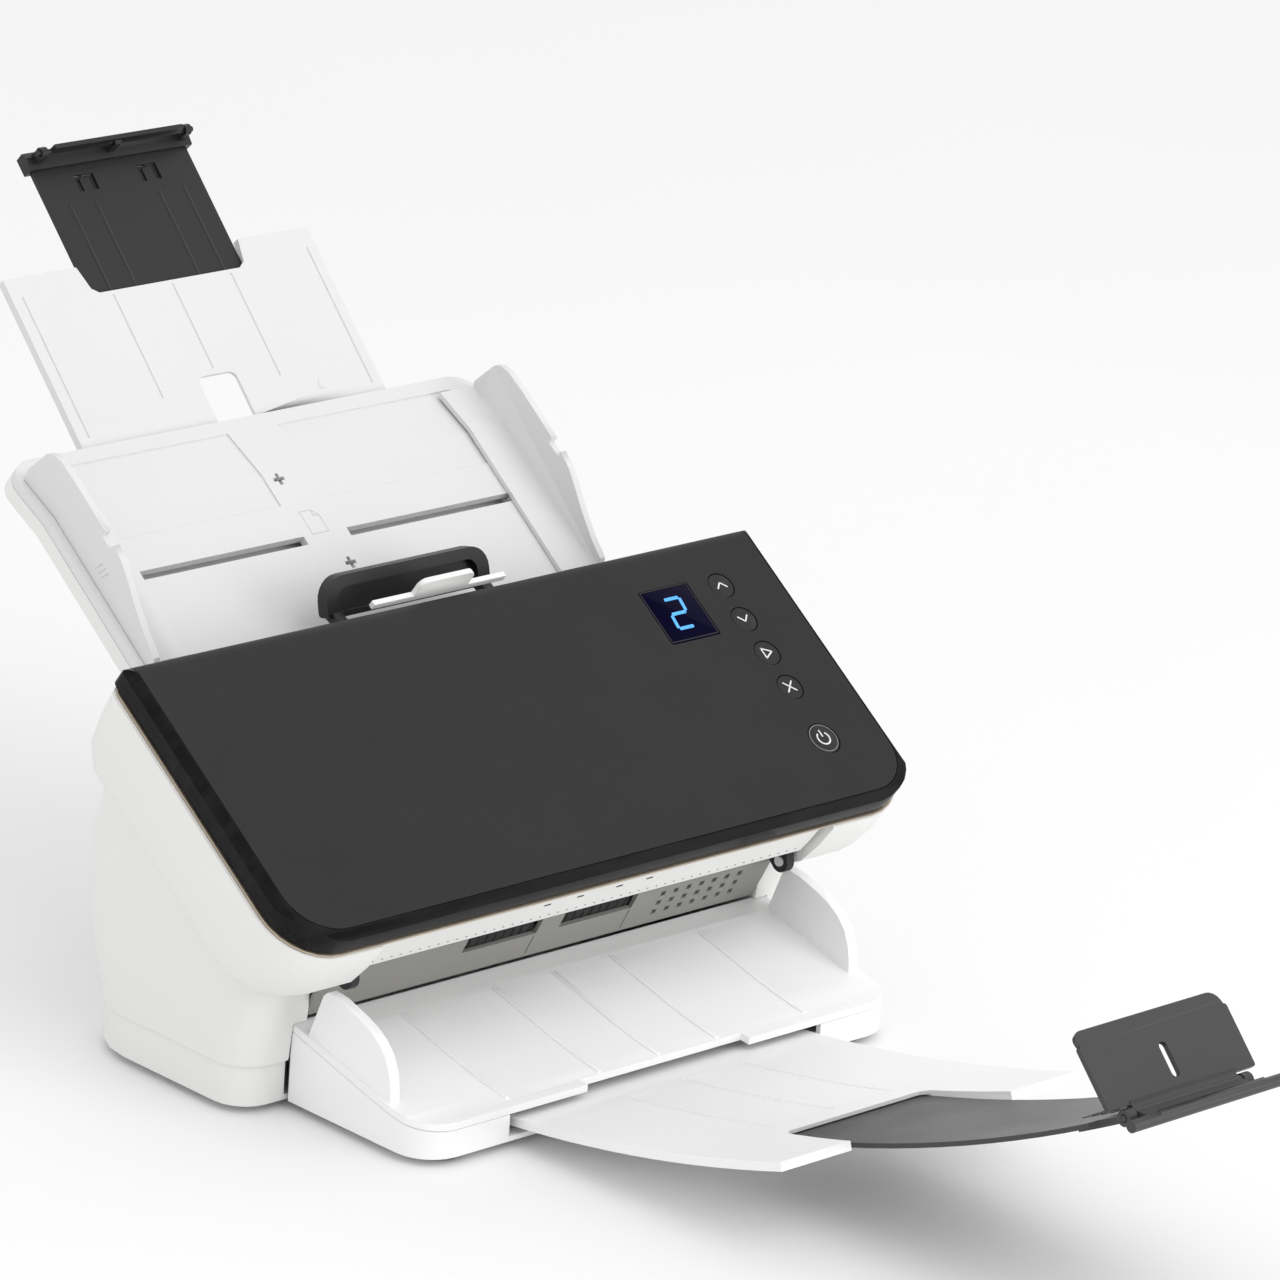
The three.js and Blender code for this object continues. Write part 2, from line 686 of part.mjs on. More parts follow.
const BUTTONS = [
  ["button_up", 122.8, 14.8, 5.5],
  ["button_down", 122.8, 31.2, 5.5],
  ["button_start", 122.8, 47.6, 5.5],
  ["button_stop", 122.6, 64.0, 5.5],
  ["button_power", 122.0, 88.6, 6.7],
];
const WINDOW = [82.6, 108.0, 9.9, 35.1]; // display window: X range, range down the panel
const BUTTON_TRAVEL = 0.8;

function panel() {
  const blank = panelBlank(RIM_DEPTH);
  const hollow = [
    [200, 2.6],
    [200, 30],
    [RIM_BACK + 2.6, 30],
    ...arc(RIM_BACK + ROLL, ROLL, ROLL - 2.6, 180, 270, 6),
  ];
  const face = cut(
    common(blank, slab(facePlan(FACE_HALF, FACE_END, 19), -1, 20)),
    profile(hollow, -200, 200),
    slab(roundRect(WINDOW[0], WINDOW[1], WINDOW[2], WINDOW[3], [1, 1, 1, 1], 2), -1, 4),
    ...BUTTONS.map(([, x, s, radius]) => post(radius + GAP, x, s, -1, 4, 28)),
  );
  part("panel_face", "black", face, panelFrame);
  const opening = facePlan(FACE_HALF + GAP, FACE_END + GAP, 19.3);
  part("panel_rim", "gloss", cut(blank, slab(opening, -1, 20)), panelFrame);
  const trimOut = roundRect(-155.0, 155.0, -7.0, 119.2, [5, 5, 23, 23], 7);
  const trimIn = roundRect(-152.6, 152.6, -40, 116.8, [1, 1, 21, 21], 7);
  const trim = cut(slab(trimOut, RIM_DEPTH + GAP, SHELL_TOP - GAP), slab(trimIn, 0, 20));
  part("accent_frame", "metalTrim", trim, panelFrame);
  const [x0, x1, s0, s1] = WINDOW;
  const g = GAP;
  const glass = slab(roundRect(x0 + g, x1 - g, s0 + g, s1 - g, [0.8, 0.8, 0.8, 0.8], 2), 0.1, 3.2);
  const back = block(x0 - 2, x1 + 2, s0 - 2, s1 + 2, 2.9, 5.2);
  part("display_window", "glass", add(glass, back), panelFrame);
}

function buttons() {
  for (const [name, x, s, radius] of BUTTONS) {
    const cap = post(radius, x, s, 0.1, 3.2, 28);
    const flange = post(radius + 1.2, x, s, 3.2, 4.4, 28);
    const stem = post(1.6, x, s, 4.4, 5.6, 16);
    part(name, "black", add(cap, flange, stem), panelFrame);
  }
  const board = block(60, 136, 4, 104, 6.8, 8.2);
  const switches = BUTTONS.map(([, x, s]) => block(x - 2.4, x + 2.4, s - 2.4, s + 2.4, 6.5, 7));
  part("control_board", "board", add(board, ...switches), panelFrame);
}

// Depth of the paper path under the panel at a distance down the panel.
function pathDepth(s) {
  const inverse = panelFrame.clone().invert();
  const a = new THREE.Vector3(0, ...PATH_TOP).applyMatrix4(inverse);
  const b = new THREE.Vector3(0, ...PATH_END).applyMatrix4(inverse);
  return a.z + ((b.z - a.z) * (s - a.y)) / (b.y - a.y);
}

const LEVER_AXIS = [-2.6, 17.0]; // release lever pivot in the panel frame

function coverChassis() {
  const lift = 1.8;
  const body = [
    [-6.0, 8.8],
    [112.9, 8.8],
    [112.9, 33],
    [103.4, pathDepth(103.4) - lift],
    [-1.0, pathDepth(-1) - lift],
    [-7.6, 30],
    [-7.6, 10.4],
    [-6.0, 10.4],
  ];
  const pocket = [
    [-3.4, 7],
    [110.4, 7],
    [110.4, 31.6],
    [102.2, pathDepth(102.2) - lift - 2.6],
    [0.4, pathDepth(0.4) - lift - 2.6],
    [-3.4, 30],
  ];
  const flange = slab(
    roundRect(-150.0, 150.0, -6.0, 114.4, [2, 2, 18.4, 18.4], 5),
    8.8,
    RIM_DEPTH + 0.4,
  );
  const hanging = cut(
    profile(body, -COVER_HALF, COVER_HALF),
    profile(pocket, -COVER_HALF + 2.6, COVER_HALF - 2.6),
  );
  const path = (body) => panelSpace(placed(body, pathFrame));
  const feedCradles = [-28.4, 23.6].map((x) =>
    block(x, x + 4.8, FEED_AT - 4.4, FEED_AT + 4.4, -14.6, -2),
  );
  const pinchCradles = [-55.6, 52.0].map((x) =>
    block(x, x + 3.6, DRIVE_AT - 4, DRIVE_AT + 4, -9.4, -2),
  );
  const ears = [-COVER_HALF, COVER_HALF - 3.6].map((x) =>
    add(
      rod(4.4, x, x + 3.6, ...COVER_PIVOT, 20),
      profile(
        [
          [112.9, 33.4],
          [COVER_PIVOT[0] + 4.2, COVER_PIVOT[1] - 1],
          [COVER_PIVOT[0] - 1, COVER_PIVOT[1] + 4.2],
          [104, 43],
          [104, 30],
        ],
        x,
        x + 3.6,
      ),
    ),
  );
  const posts = [-143, 143].flatMap((x) => [20, 88].map((s) => post(2.4, x, s, 2.9, 9.4, 12)));
  const cuts = [
    block(-COVER_HALF + 2.6, COVER_HALF - 2.6, -3.4, 110.4, 7, 12),
    block(-43.5, 43.5, -20, 6.4, 5, 24),
    path(block(-106.3, 106.3, UPPER_SENSOR_AT - 8.3, UPPER_SENSOR_AT + 8.3, -20, 1)),
    path(block(-21.4, 21.4, FEED_AT - 10.6, FEED_AT + 10.6, -21, 1)),
    path(block(-51, -19, DRIVE_AT - 6, DRIVE_AT + 6, -12, 1)),
    path(block(19, 51, DRIVE_AT - 6, DRIVE_AT + 6, -12, 1)),
    path(rod(2 + GAP, -27, 27, FEED_AT, -FEED_R + 0.8, 16)),
    path(block(-27, 27, FEED_AT - 2.3, FEED_AT + 2.3, -FEED_R + 0.8, 0)),
    path(rod(1.6 + GAP, -54.4, 54.4, DRIVE_AT, -5.8, 16)),
    path(block(-54.4, 54.4, DRIVE_AT - 1.9, DRIVE_AT + 1.9, -5.8, 0)),
    rod(2 + GAP, -COVER_HALF - 1, -COVER_HALF + 5, ...COVER_PIVOT, 16),
    rod(2 + GAP, COVER_HALF - 5, COVER_HALF + 1, ...COVER_PIVOT, 16),
  ];
  const cradles = [...feedCradles, ...pinchCradles].map(path);
  part(
    "cover_chassis",
    "dark",
    cut(add(hanging, flange, ...cradles, ...ears, ...posts), ...cuts),
    panelFrame,
  );
}

// A world solid seen from the panel frame.
const panelSpace = (body) => placed(body, panelFrame.clone().invert());

const COVER_PIVOT = [112.9, 39.9]; // cover hinge axis in the panel frame

function coverLip() {
  const half = COVER_HALF;
  const section = [
    [113.2, 11.6],
    [116.4, 11.6],
    [116.0, 24],
    [115.4, 31.0],
    [114.4, 32.2],
    [113.2, 31.8],
  ];
  const marks = [-26.3, -10.1, 9.3, 24.4].map((x) => block(x - 2.2, x + 2.2, 115.4, 118, 15.6, 16.8));
  part("cover_lip", "white", cut(profile(section, -half, half), ...marks), panelFrame);
}

function coverRollers() {
  const separation = add(
    rod(9, -20, 20, FEED_AT, -FEED_R + 0.8, 24),
    rod(2, -26.6, 26.6, FEED_AT, -FEED_R + 0.8, 16),
  );
  part("separation_roller", "rubber", separation, pathFrame);
  const pinch = add(
    rod(4.6, -50, -20, DRIVE_AT, -5.8, 20),
    rod(4.6, 20, 50, DRIVE_AT, -5.8, 20),
    rod(1.6, -54, 54, DRIVE_AT, -5.8, 16),
  );
  part("pinch_roller", "steel", pinch, pathFrame);
}

function releaseLever() {
  const [s, h] = LEVER_AXIS;
  const plan = roundRect(-40.2, 40.2, 0, 15.4, [2, 2, 9, 9], 6);
  const hole = roundRect(-34.4, 34.4, 2.4, 11.0, [1.5, 1.5, 5, 5], 5);
  const upright = new THREE.Matrix4()
    .makeRotationX(rad(LEVER_LEAN))
    .setPosition(0, LEVER_FOOT[0], LEVER_FOOT[1]);
  const loop = placed(
    add(cut(slab(plan, -2.6, 2.6), slab(hole, -4, 4)), block(-34.6, 34.6, 1, 11.2, -2.4, -1.0)),
    upright,
  );
  const barrel = placed(rod(2.4, -40.2, 40.2, s, h, 20), panelFrame);
  const below = pointOf(panelFrame, s - 1.4, h + 1.6);
  const above = pointOf(panelFrame, s + 1.6, h - 1.4);
  const arm = [LEVER_FOOT_BACK, below, above, LEVER_FOOT_FRONT];
  const arms = [-38.4, 34.0].map((x) => profile(arm, x, x + 4.4));
  part("release_lever", "black", add(loop, barrel, ...arms));
}
const LEVER_LEAN = 78;
const LEVER_FOOT = [112.2, 146.8];
const LEVER_FOOT_BACK = [115.0, 147.4];
const LEVER_FOOT_FRONT = [109.4, 149.6];

function gapTab() {
  const strip = block(-32.6, 32.6, -13.4, -11.2, 2.4, 5.2);
  const plan = roundRect(-13.4, 13.4, -5.2, 3.4, [3.4, 3.4, 1, 1], 4);
  const tab = placed(slab(plan, 11.2, 13.4), new THREE.Matrix4().makeRotationX(Math.PI / 2));
  part("gap_tab", "white", add(strip, tab), panelFrame);
}

// ---------------------------------------------------------------- output tray
const PLATE_TOP = [
  [TRAY_REAR, 32.9],
  [21, 30.1],
  [0, 24.6],
  [-12, 21.4],
  [-22, 19.1],
  [-30, 17.7],
  [-36, 16.9],
  [TRAY_FRONT, 16.4],
];
const PLATE_THICK = 2.7;

const TRAY_CORNER = 15;

function trayPlan(grow) {
  const half = TRAY_HALF + grow;
  return roundRect(-half, half, TRAY_FRONT - grow, TRAY_REAR, [TRAY_CORNER, TRAY_CORNER, 1, 1], 6);
}

function outputPlate() {
  const under = PLATE_TOP.map(([y, z]) => [y, z - PLATE_THICK]).reverse();
  const plate = common(
    profile([...under, ...PLATE_TOP], -TRAY_HALF, TRAY_HALF),
    slab(trayPlan(0), 0, 60),
  );
  const finEdge = [
    [-20.9, 17.6],
    ...finCurve(),
    [15.0, 49.4],
    [17.0, 47.6],
    [24.0, 29.4],
    [0, 23.6],
  ];
  const fins = [
    profile(finEdge, -116.6, -112.2),
    profile(finEdge, 112.2, 116.6),
  ];
  const ribs = [-74.4, -29.3, 0, 29.3, 74.4].map((x) => {
    const crest = PLATE_TOP.filter(([y]) => y < 22 && y > -40).map(([y, z]) => [y, z + 0.5]);
    const foot = crest.map(([y, z]) => [y, z - 1.5]).reverse();
    return profile([...foot, ...crest], x - 0.9, x + 0.9);
  });
  const notch = block(-40.4, 40.4, TRAY_FRONT - 2, TRAY_FRONT + 4.4, 10, 20);
  part("output_plate", "white", cut(add(plate, ...fins, ...ribs), notch));
}

// Rounded front of a side fin, from its foot up to the flat top.
function finCurve() {
  return [
    [-20.6, 24.0],
    [-19.4, 29.6],
    [-16.9, 35.2],
    [-12.9, 39.6],
    [-7.6, 43.0],
    [-1.0, 45.6],
    [8.6, 48.6],
  ];
}

function outputHousing() {
  const lower = PLATE_TOP.map(([y, z]) => [y, z - PLATE_THICK - GAP]);
  const outside = [[TRAY_REAR, BASE_BOTTOM], ...lower, [TRAY_FRONT, BASE_BOTTOM]];
  const hollow = [
    [TRAY_REAR + 2, BASE_BOTTOM + 2],
    [TRAY_REAR + 2, 60],
    [TRAY_FRONT + 2.6, 60],
    [TRAY_FRONT + 2.6, BASE_BOTTOM + 2],
  ];
  const outer = common(
    profile(outside.reverse(), -TRAY_HALF, TRAY_HALF),
    slab(trayPlan(0), 0, 60),
  );
  const room = [-TRAY_HALF + 2.6, TRAY_HALF - 2.6, TRAY_FRONT + 2.6, TRAY_REAR + 4];
  const inner = common(
    profile(hollow.reverse(), -TRAY_HALF + 2.6, TRAY_HALF - 2.6),
    slab(roundRect(...room, [TRAY_CORNER - 2.6, TRAY_CORNER - 2.6, 1, 1], 6), 0, 60),
  );
  const slot = block(-EXT_1_HALF - 3.6, EXT_1_HALF + 3.6, TRAY_FRONT - 2, TRAY_FRONT + 4, 5, 30);
  const channel = block(-EXT_1_HALF - 1.6, EXT_1_HALF + 1.6, -36, TRAY_REAR + 2, 0, 8);
  const rails = [-1, 1].map((side) => {
    const x = side * (EXT_1_HALF + 2.6);
    return block(x - 1, x + 1, -30, TRAY_REAR - 1, BASE_BOTTOM + 1, 9);
  });
  part("output_housing", "white", cut(add(cut(outer, inner), ...rails), slot, channel));
}

// A curved strip round the extensions' centre between two radii and two angles.
function curved(inner, outer, from, to, x0, x1, count = 14) {
  const at = (radius, angle) => [
    EXT_Y - radius * Math.sin(rad(angle)),
    EXT_Z - radius * Math.cos(rad(angle)),
  ];
  const points = [];
  for (let i = 0; i <= count; i++) {
    points.push(at(inner, from + ((to - from) * i) / count));
  }
  for (let i = count; i >= 0; i--) {
    points.push(at(outer, from + ((to - from) * i) / count));
  }
  return profile(points, x0, x1);
}

// Angle round the extensions' centre for a place on the Y axis.
const angleAt = (y) => THREE.MathUtils.radToDeg(Math.asin((EXT_Y - y) / EXT_R));

function outputExtension1() {
  const back = angleAt(-26);
  const front = angleAt(-170.6);
  const plate = curved(EXT_R, EXT_R + 3.4, back, front, -EXT_1_HALF, EXT_1_HALF);
  const channel = curved(
    EXT_R + 1.5,
    EXT_R + 5,
    back - 1,
    front + 1,
    -EXT_2_HALF - GAP,
    EXT_2_HALF + GAP,
  );
  const notch = slab(
    [
      [-40.6, -200],
      [40.6, -200],
      [40.0, -168.0],
      [35.6, -137.0],
      [32.6, -134.0],
      [-32.6, -134.0],
      [-35.6, -137.0],
      [-40.0, -168.0],
    ],
    0,
    80,
  );
  const grooves = [-29.4, 0, 29.4].map((x) =>
    curved(EXT_R - 1, EXT_R + 0.45, angleAt(-50), angleAt(-124), x - 0.5, x + 0.5, 8),
  );
  part("output_extension_1", "white", cut(plate, channel, notch, ...grooves));
}

const STOP_AXIS_R = EXT_R + 3.2;
const STOP_AXIS_ANGLE = 28.25;
const stopAxis = () => [
  EXT_Y - STOP_AXIS_R * Math.sin(rad(STOP_AXIS_ANGLE)),
  EXT_Z - STOP_AXIS_R * Math.cos(rad(STOP_AXIS_ANGLE)),
];

function outputExtension2() {
  const back = angleAt(-116);
  const near = 27.2;
  const plate = curved(EXT_R + 1.9, EXT_R + 3.7, back, near, -EXT_2_HALF, EXT_2_HALF);
  const ribs = [-22, 0, 22].map((x) =>
    curved(EXT_R + 3.4, EXT_R + 4.3, angleAt(-150), near - 0.6, x - 0.8, x + 0.8, 8),
  );
  const [y, z] = stopAxis();
  const lug = (x) =>
    cut(
      add(rod(2.9, x - 2, x + 2, y, z, 20), curved(EXT_R + 1.9, EXT_R + 4.6, 26.4, 28.1, x - 2, x + 2, 4)),
      rod(1.5, x - 3, x + 3, y, z, 16),
    );
  part("output_extension_2", "black", add(plate, ...ribs, lug(-29), lug(29)));
}

function endStop() {
  const [y, z] = stopAxis();
  const half = 36.5;
  const flapWay = [Math.cos(rad(47.4)), Math.sin(rad(47.4))];
  const flapFrame = slopeFrame([y, z], flapWay, [-flapWay[1], flapWay[0]]);
  const flap = slab(roundRect(-half, half, 3.6, 27.4, [1, 1, 1, 1], 2), -1.0, 1.0);
  const bent = placed(
    slab(roundRect(-half + 1, half - 1, 0, 6.2, [1, 1, 4, 4], 4), -1.0, 1.0),
    new THREE.Matrix4().makeRotationX(rad(-16)).setPosition(0, 26.8, 0),
  );
  const slot = slab(roundRect(-1.9, 1.9, 8, 21, [1.8, 1.8, 1.8, 1.8], 4), -3, 3);
  const plate = placed(cut(add(flap, bent), slot), flapFrame);
  const barrel = rod(2.6, -26.4, 26.4, y, z, 20);
  const pins = rod(1.2, -31.2, 31.2, y, z, 16);
  const root = placed(block(-26, 26, 0, 5, -1.2, 1.2), flapFrame);
  const barPoints = [
    [y - 1.2, z - 2.2],
    [y - 11.4, z + 0.6],
    [y - 12.2, z + 5.4],
    [y - 10.4, z + 5.6],
    [y - 9.2, z + 2.2],
    [y + 0.4, z + 2.2],
  ];
  const bar = add(
    profile(barPoints, -26.2, 26.2),
    rod(2.2, -39.2, 39.2, y - 10.6, z + 2.6, 16),
  );
  part("end_stop", "black", add(plate, barrel, pins, root, bar));
}

// ---------------------------------------------------------------- input tray
const HINGE_AXIS = [1.0, -7.4]; // tray hinge in the tray frame

// Surface line of the tray in its own frame, lowered by `drop`.
function hopperLine(drop, end = HOPPER_END) {
  const t = rad(BEND_DROP);
  const run = end - HOPPER_BEND;
  return [
    [0, -drop],
    [HOPPER_BEND - drop * Math.tan(t / 2), -drop],
    [HOPPER_BEND + run * Math.cos(t) - drop * Math.sin(t), -run * Math.sin(t) - drop * Math.cos(t)],
  ];
}

function trayTop() {
  const top = hopperLine(0);
  const low = hopperLine(3.4).reverse();
  const plan = roundRect(-HOPPER_HALF, HOPPER_HALF, 0, HOPPER_END - 0.6, [3, 3, 12, 12], 6);
  const blank = common(
    profile([...low, ...top].reverse(), -HOPPER_HALF, HOPPER_HALF),
    slab(plan, -40, 20),
  );
  const fields = [-1, 1].map((side) => {
    const near = 12 * side;
    const far = 100 * side;
    const field = profile(
      [
        [60, -0.7],
        [HOPPER_BEND, -0.7],
        ...hopperLine(0.7, HOPPER_END - 7).slice(2),
        [HOPPER_END, 8],
        [60, 8],
      ].reverse(),
      Math.min(near, far),
      Math.max(near, far),
    );
    return field;
  });
  const slots = [
    block(-104.5, -10.6, SLOT_AT - 1.9, SLOT_AT + 1.9, -6, 3),
    block(10.6, 104.5, SLOT_AT - 1.9, SLOT_AT + 1.9, -6, 3),
  ];
  const cross = [
    [-5.6, HOPPER_BEND - 3.4],
    [2.9, 30.4],
  ].flatMap(([x, u]) => [
    block(x - 2.6, x + 2.6, u - 0.8, u + 0.8, -6, 3),
    block(x - 0.8, x + 0.8, u - 2.6, u + 2.6, -6, 3),
  ]);
  const knuckles = [-90, 90].map((x) => {
    const pin = rod(3.6, x - 12, x + 12, ...HINGE_AXIS, 20);
    const arm = block(x - 12, x + 12, 0.2, 5, HINGE_AXIS[1], -2);
    return cut(add(pin, arm), rod(1.5, x - 14, x + 14, ...HINGE_AXIS, 16));
  });
  const mouth = hopperSpace(block(-IN_1_HALF - 0.4, IN_1_HALF + 0.4, -60, 30, -9, 0.4));
  const body = cut(add(blank, ...knuckles), ...fields, ...slots, ...cross, mouth);
  part("tray_top", "white", body, hopperFrame);
}

// A solid of the input extension's frame, seen from the tray frame.
const hopperSpace = (body) =>
  placed(body, hopperFrame.clone().invert().multiply(inFrame));

function trayUnder() {
  const rim = hopperLine(3.4 + GAP);
  const outerLow = hopperLine(9.6).reverse();
  const plan = roundRect(-HOPPER_HALF, HOPPER_HALF, 7, HOPPER_END - 0.6, [3, 3, 12, 12], 6);
  const wide = common(
    profile([...outerLow, ...rim].reverse(), -HOPPER_HALF, HOPPER_HALF),
    slab(plan, -60, 20),
  );
  const planIn = roundRect(-HOPPER_HALF + 2, HOPPER_HALF - 2, 9, HOPPER_END - 2.6, [2, 2, 10, 10], 6);
  const hollow = common(
    profile([...hopperLine(7.8).reverse(), ...hopperLine(-4)].reverse(), -HOPPER_HALF + 2, HOPPER_HALF - 2),
    slab(planIn, -60, 20),
  );
  const side = IN_1_HALF + 0.4;
  const sleeve = hopperSpace(block(-side - 2.4, side + 2.4, -90, -1.6, -6.0, 2.6));
  const cheek = [
    [14, -9],
    [16, -27],
    [22, -31],
    [HOPPER_END - 8, -16],
    [HOPPER_END - 8, -9],
  ].reverse();
  const lowest = [
    [8, -8.4],
    [8, -50],
    [120, -50],
    [120, -8.4 - 7],
    [HOPPER_BEND, -8.4],
  ].reverse();
  const pocket = common(
    add(sleeve, profile(cheek, -side - 2.4, -side), profile(cheek, side, side + 2.4)),
    profile(lowest, -side - 3, side + 3),
  );
  const room = hopperSpace(block(-side, side, -87, 30, -4.1, 0.7));
  part("tray_under", "white", cut(add(cut(wide, hollow), pocket), room), hopperFrame);
}

function guide(name, side) {
  const inner = GUIDE_X * side;
  const span = (a, b, u0, u1, w0, w1) =>
    block(Math.min(a * side, b * side), Math.max(a * side, b * side), u0, u1, w0, w1);
  const plane = [
    [6, 0.3],
    [HOPPER_BEND, 0.3],
    [94, 0.3 - 3.1],
    [96, 1.2],
    [93, 14.6],
    [90.6, 17.4],
    [86, 19.0],
    [76, 19.6],
    [47, 19.4],
    [40, 18.2],
    [33, 15.6],
    [24.5, 11.8],
    [14, 8.2],
    [5.4, 6.2],
    [4.0, 3.6],
  ];
  const blade = profile(plane, Math.min(inner, inner + 2.7 * side), Math.max(inner, inner + 2.7 * side));
  const basePoints = [
    [6, 0.3],
    [HOPPER_BEND, 0.3],
    [95, 0.3 - 3.35],
    [95.2, -0.9],
    [HOPPER_BEND, 2.2],
    [6, 2.2],
  ];
  const base = profile(
    basePoints,
    Math.min(92 * side, (GUIDE_X + 2.7) * side),
    Math.max(92 * side, (GUIDE_X + 2.7) * side),
  );
  const stem = span(94, 101, SLOT_AT - 1.5, SLOT_AT + 1.5, -5.0, 1.5);
  const rackLine = SLOT_AT + side * RACK_OFFSET;
  const rack = rackBar(side, rackLine);
  const hookLow = Math.min(SLOT_AT - 1.5, rackLine - 2);
  const hookHigh = Math.max(SLOT_AT + 1.5, rackLine + 2);
  const hook = span(94, 101, hookLow, hookHigh, -6.4, -4.2);
  const notch = span(GUIDE_X - 1, GUIDE_X + 4, 47, 53.4, 16.8, 21);
  part(name, "white", cut(add(blade, base, stem, hook, rack), notch), hopperFrame);
}

const PINION_TEETH = 14;
const RACK_OFFSET = 9.4;
const RACK_TRAVEL = 75;

// A toothed bar along X under the tray, teeth towards the pinion.
function rackBar(side, line) {
  const pitchLine = SLOT_AT + side * (PINION_TEETH / 2 + 0.12);
  const start = -8;
  const end = 97;
  const points = [];
  const step = Math.PI;
  const teethFrom = Math.ceil((start + 1.2) / step);
  const teethTo = Math.floor((end - 22) / step);
  const u = (w) => pitchLine + side * w;
  points.push([start * side, line + side * 2]);
  points.push([start * side, u(1.1)]);
  for (let i = teethFrom; i <= teethTo; i++) {
    const c = i * step;
    points.push([(c - 0.3 * step) * side, u(1.1)]);
    points.push([(c - 0.11 * step) * side, u(-0.75)]);
    points.push([(c + 0.11 * step) * side, u(-0.75)]);
    points.push([(c + 0.3 * step) * side, u(1.1)]);
  }
  points.push([end * side, u(1.1)]);
  points.push([end * side, line + side * 2]);
  const area = THREE.ShapeUtils.area(points.map(([a, b]) => new THREE.Vector2(a, b)));
  const shape = area > 0 ? points : points.reverse();
  return slab(shape, -6.4, -4.2);
}

function guidePinion() {
  const pinion = gear(PINION_TEETH, -6.4, -4.2, 0, 0, 0, 2.0);
  const upright = new THREE.Matrix4().makeBasis(
    new THREE.Vector3(0, 0, 1),
    new THREE.Vector3(1, 0, 0),
    new THREE.Vector3(0, 1, 0),
  );
  upright.setPosition(0, SLOT_AT, 0);
  part("guide_pinion", "nylon", placed(pinion, upright), hopperFrame);
}

function inputExtension1() {
  const length = 70.4;
  const plate = block(-IN_1_HALF, IN_1_HALF, -20, length, -3.4, 0);
  const channel = block(-IN_2_HALF - GAP, IN_2_HALF + GAP, -21, length + 1, -5, -1.5);
  const notch = slab(
    [
      [-40.4, length + 2],
      [-39.6, length - 1],
      [-37.6, length - 9.6],
      [-34.6, length - 11.8],
      [34.6, length - 11.8],
      [37.6, length - 9.6],
      [39.6, length - 1],
      [40.4, length + 2],
    ],
    -6,
    3,
  );
  const slotPlan = roundRect(-9.2, 9.2, -2.4, 17.4, [1, 1, 3, 3], 4);
  const grooves = [-29, 0, 29].map((x) => block(x - 0.4, x + 0.4, x ? 12 : 20, 57, -0.5, 1));
  const edges = [-70, 70].map((x) => block(x - 0.4, x + 0.4, 2, 62, -0.5, 1));
  const peg = post(1.6, 46, 5, -0.5, 0.4, 14);
  part(
    "input_extension_1",
    "white",
    add(cut(plate, channel, notch, slab(slotPlan, -6, 3), ...grooves, ...edges), peg),
    inFrame,
  );
}

function inputExtension2() {
  const end = 116.4;
  const plate = slab(roundRect(-IN_2_HALF, IN_2_HALF, 42, end - 3, [4, 4, 1, 1], 4), -3.3, -1.8);
  const ribs = [-28, -15.6, 15.6, 28].map((x) => block(x - 0.7, x + 0.7, 60, end - 6, -3.7, -3.2));
  const clips = [-15.4, 15.4].map((x) => block(x - 4.8, x + 4.8, end - 15, end - 8, -5, 0));
  const tongues = [-15.4, 15.4].map((x) => block(x - 2.2, x + 2.2, end - 15.5, end - 9.4, -3.3, -2.2));
  const header = profile(
    [
      [end - 4, -4.6],
      [end + 3.2, -4.6],
      [end + 3.6, -0.4],
      [end + 1.0, 1.0],
      [end - 4, 0.2],
    ],
    -39.8,
    39.8,
  );
  const lugs = [-36.6, -1.4, 33.8].map((x) =>
    cut(
      add(block(x, x + 2.8, end - 2, end + 2, 0, 5.4), rod(2.2, x, x + 2.8, end, 5.4, 16)),
      rod(1.1 + 0.3, x - 1, x + 4, end, 5.4, 16),
    ),
  );
  part(
    "input_extension_2",
    "black",
    add(cut(plate, ...clips), ...tongues, ...ribs, header, ...lugs),
    inFrame,
  );
}

function paperStop() {
  const end = 116.4;
  const bar = rod(1.1, -38.2, 38.2, end, 5.4, 16);
  const webs = [-31.4, 3.2].map((x) => block(x, x + 28, end - 0.9, end + 0.9, 5.4, 8.6));
  const link = block(-31.4, 31.2, end - 0.9, end + 0.9, 7.9, 9.4);
  part("paper_stop", "black", add(bar, ...webs, link), inFrame);
}

// ---------------------------------------------------------------- build
const outer = outerBody();
const inner = innerBody();
sideShell("side_shell_left", -1, outer, inner);
sideShell("side_shell_right", 1, outer, inner);
rearCover(outer, inner);
basePan();
foot("foot_front_left", -100, -30);
foot("foot_front_right", 100, -30);
foot("foot_rear_left", -112, 110);
foot("foot_rear_right", 112, 110);
electronics();
transportFrame();
exitWall();
imageSensor("lower_sensor", LOWER_SENSOR_AT, 0.2, 13, 106);
imageSensor("upper_sensor", UPPER_SENSOR_AT, -14, -2.0, 106);
roller("feed", FEED_AT, FEED_R, GEARS_TO + 1.4, [["feed_tyre", -22, 22]]);
roller("drive", DRIVE_AT, DRIVE_R, GEARS_TO + 1.4, [
  ["drive_tyre_left", -51, -19],
  ["drive_tyre_right", 19, 51],
]);
roller("exit", EXIT_AT, EXIT_R, 111.4, [
  ["exit_tyre_left", -41, -7],
  ["exit_tyre_right", 7, 41],
]);
gears();
motor();
panel();
buttons();
coverChassis();
coverLip();
coverRollers();
releaseLever();
gapTab();
outputHousing();
outputPlate();
outputExtension1();
outputExtension2();
endStop();
trayTop();
trayUnder();
guide("guide_left", -1);
guide("guide_right", 1);
guidePinion();
inputExtension1();
inputExtension2();
paperStop();
group.position.y = SHIFT_Y;

export default group;
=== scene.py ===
import json
import logging
import math
from collections.abc import Iterable, Sequence
from dataclasses import dataclass, field
from enum import Enum

import bmesh
import bpy
from mathutils import Matrix, Vector
from mathutils.bvhtree import BVHTree

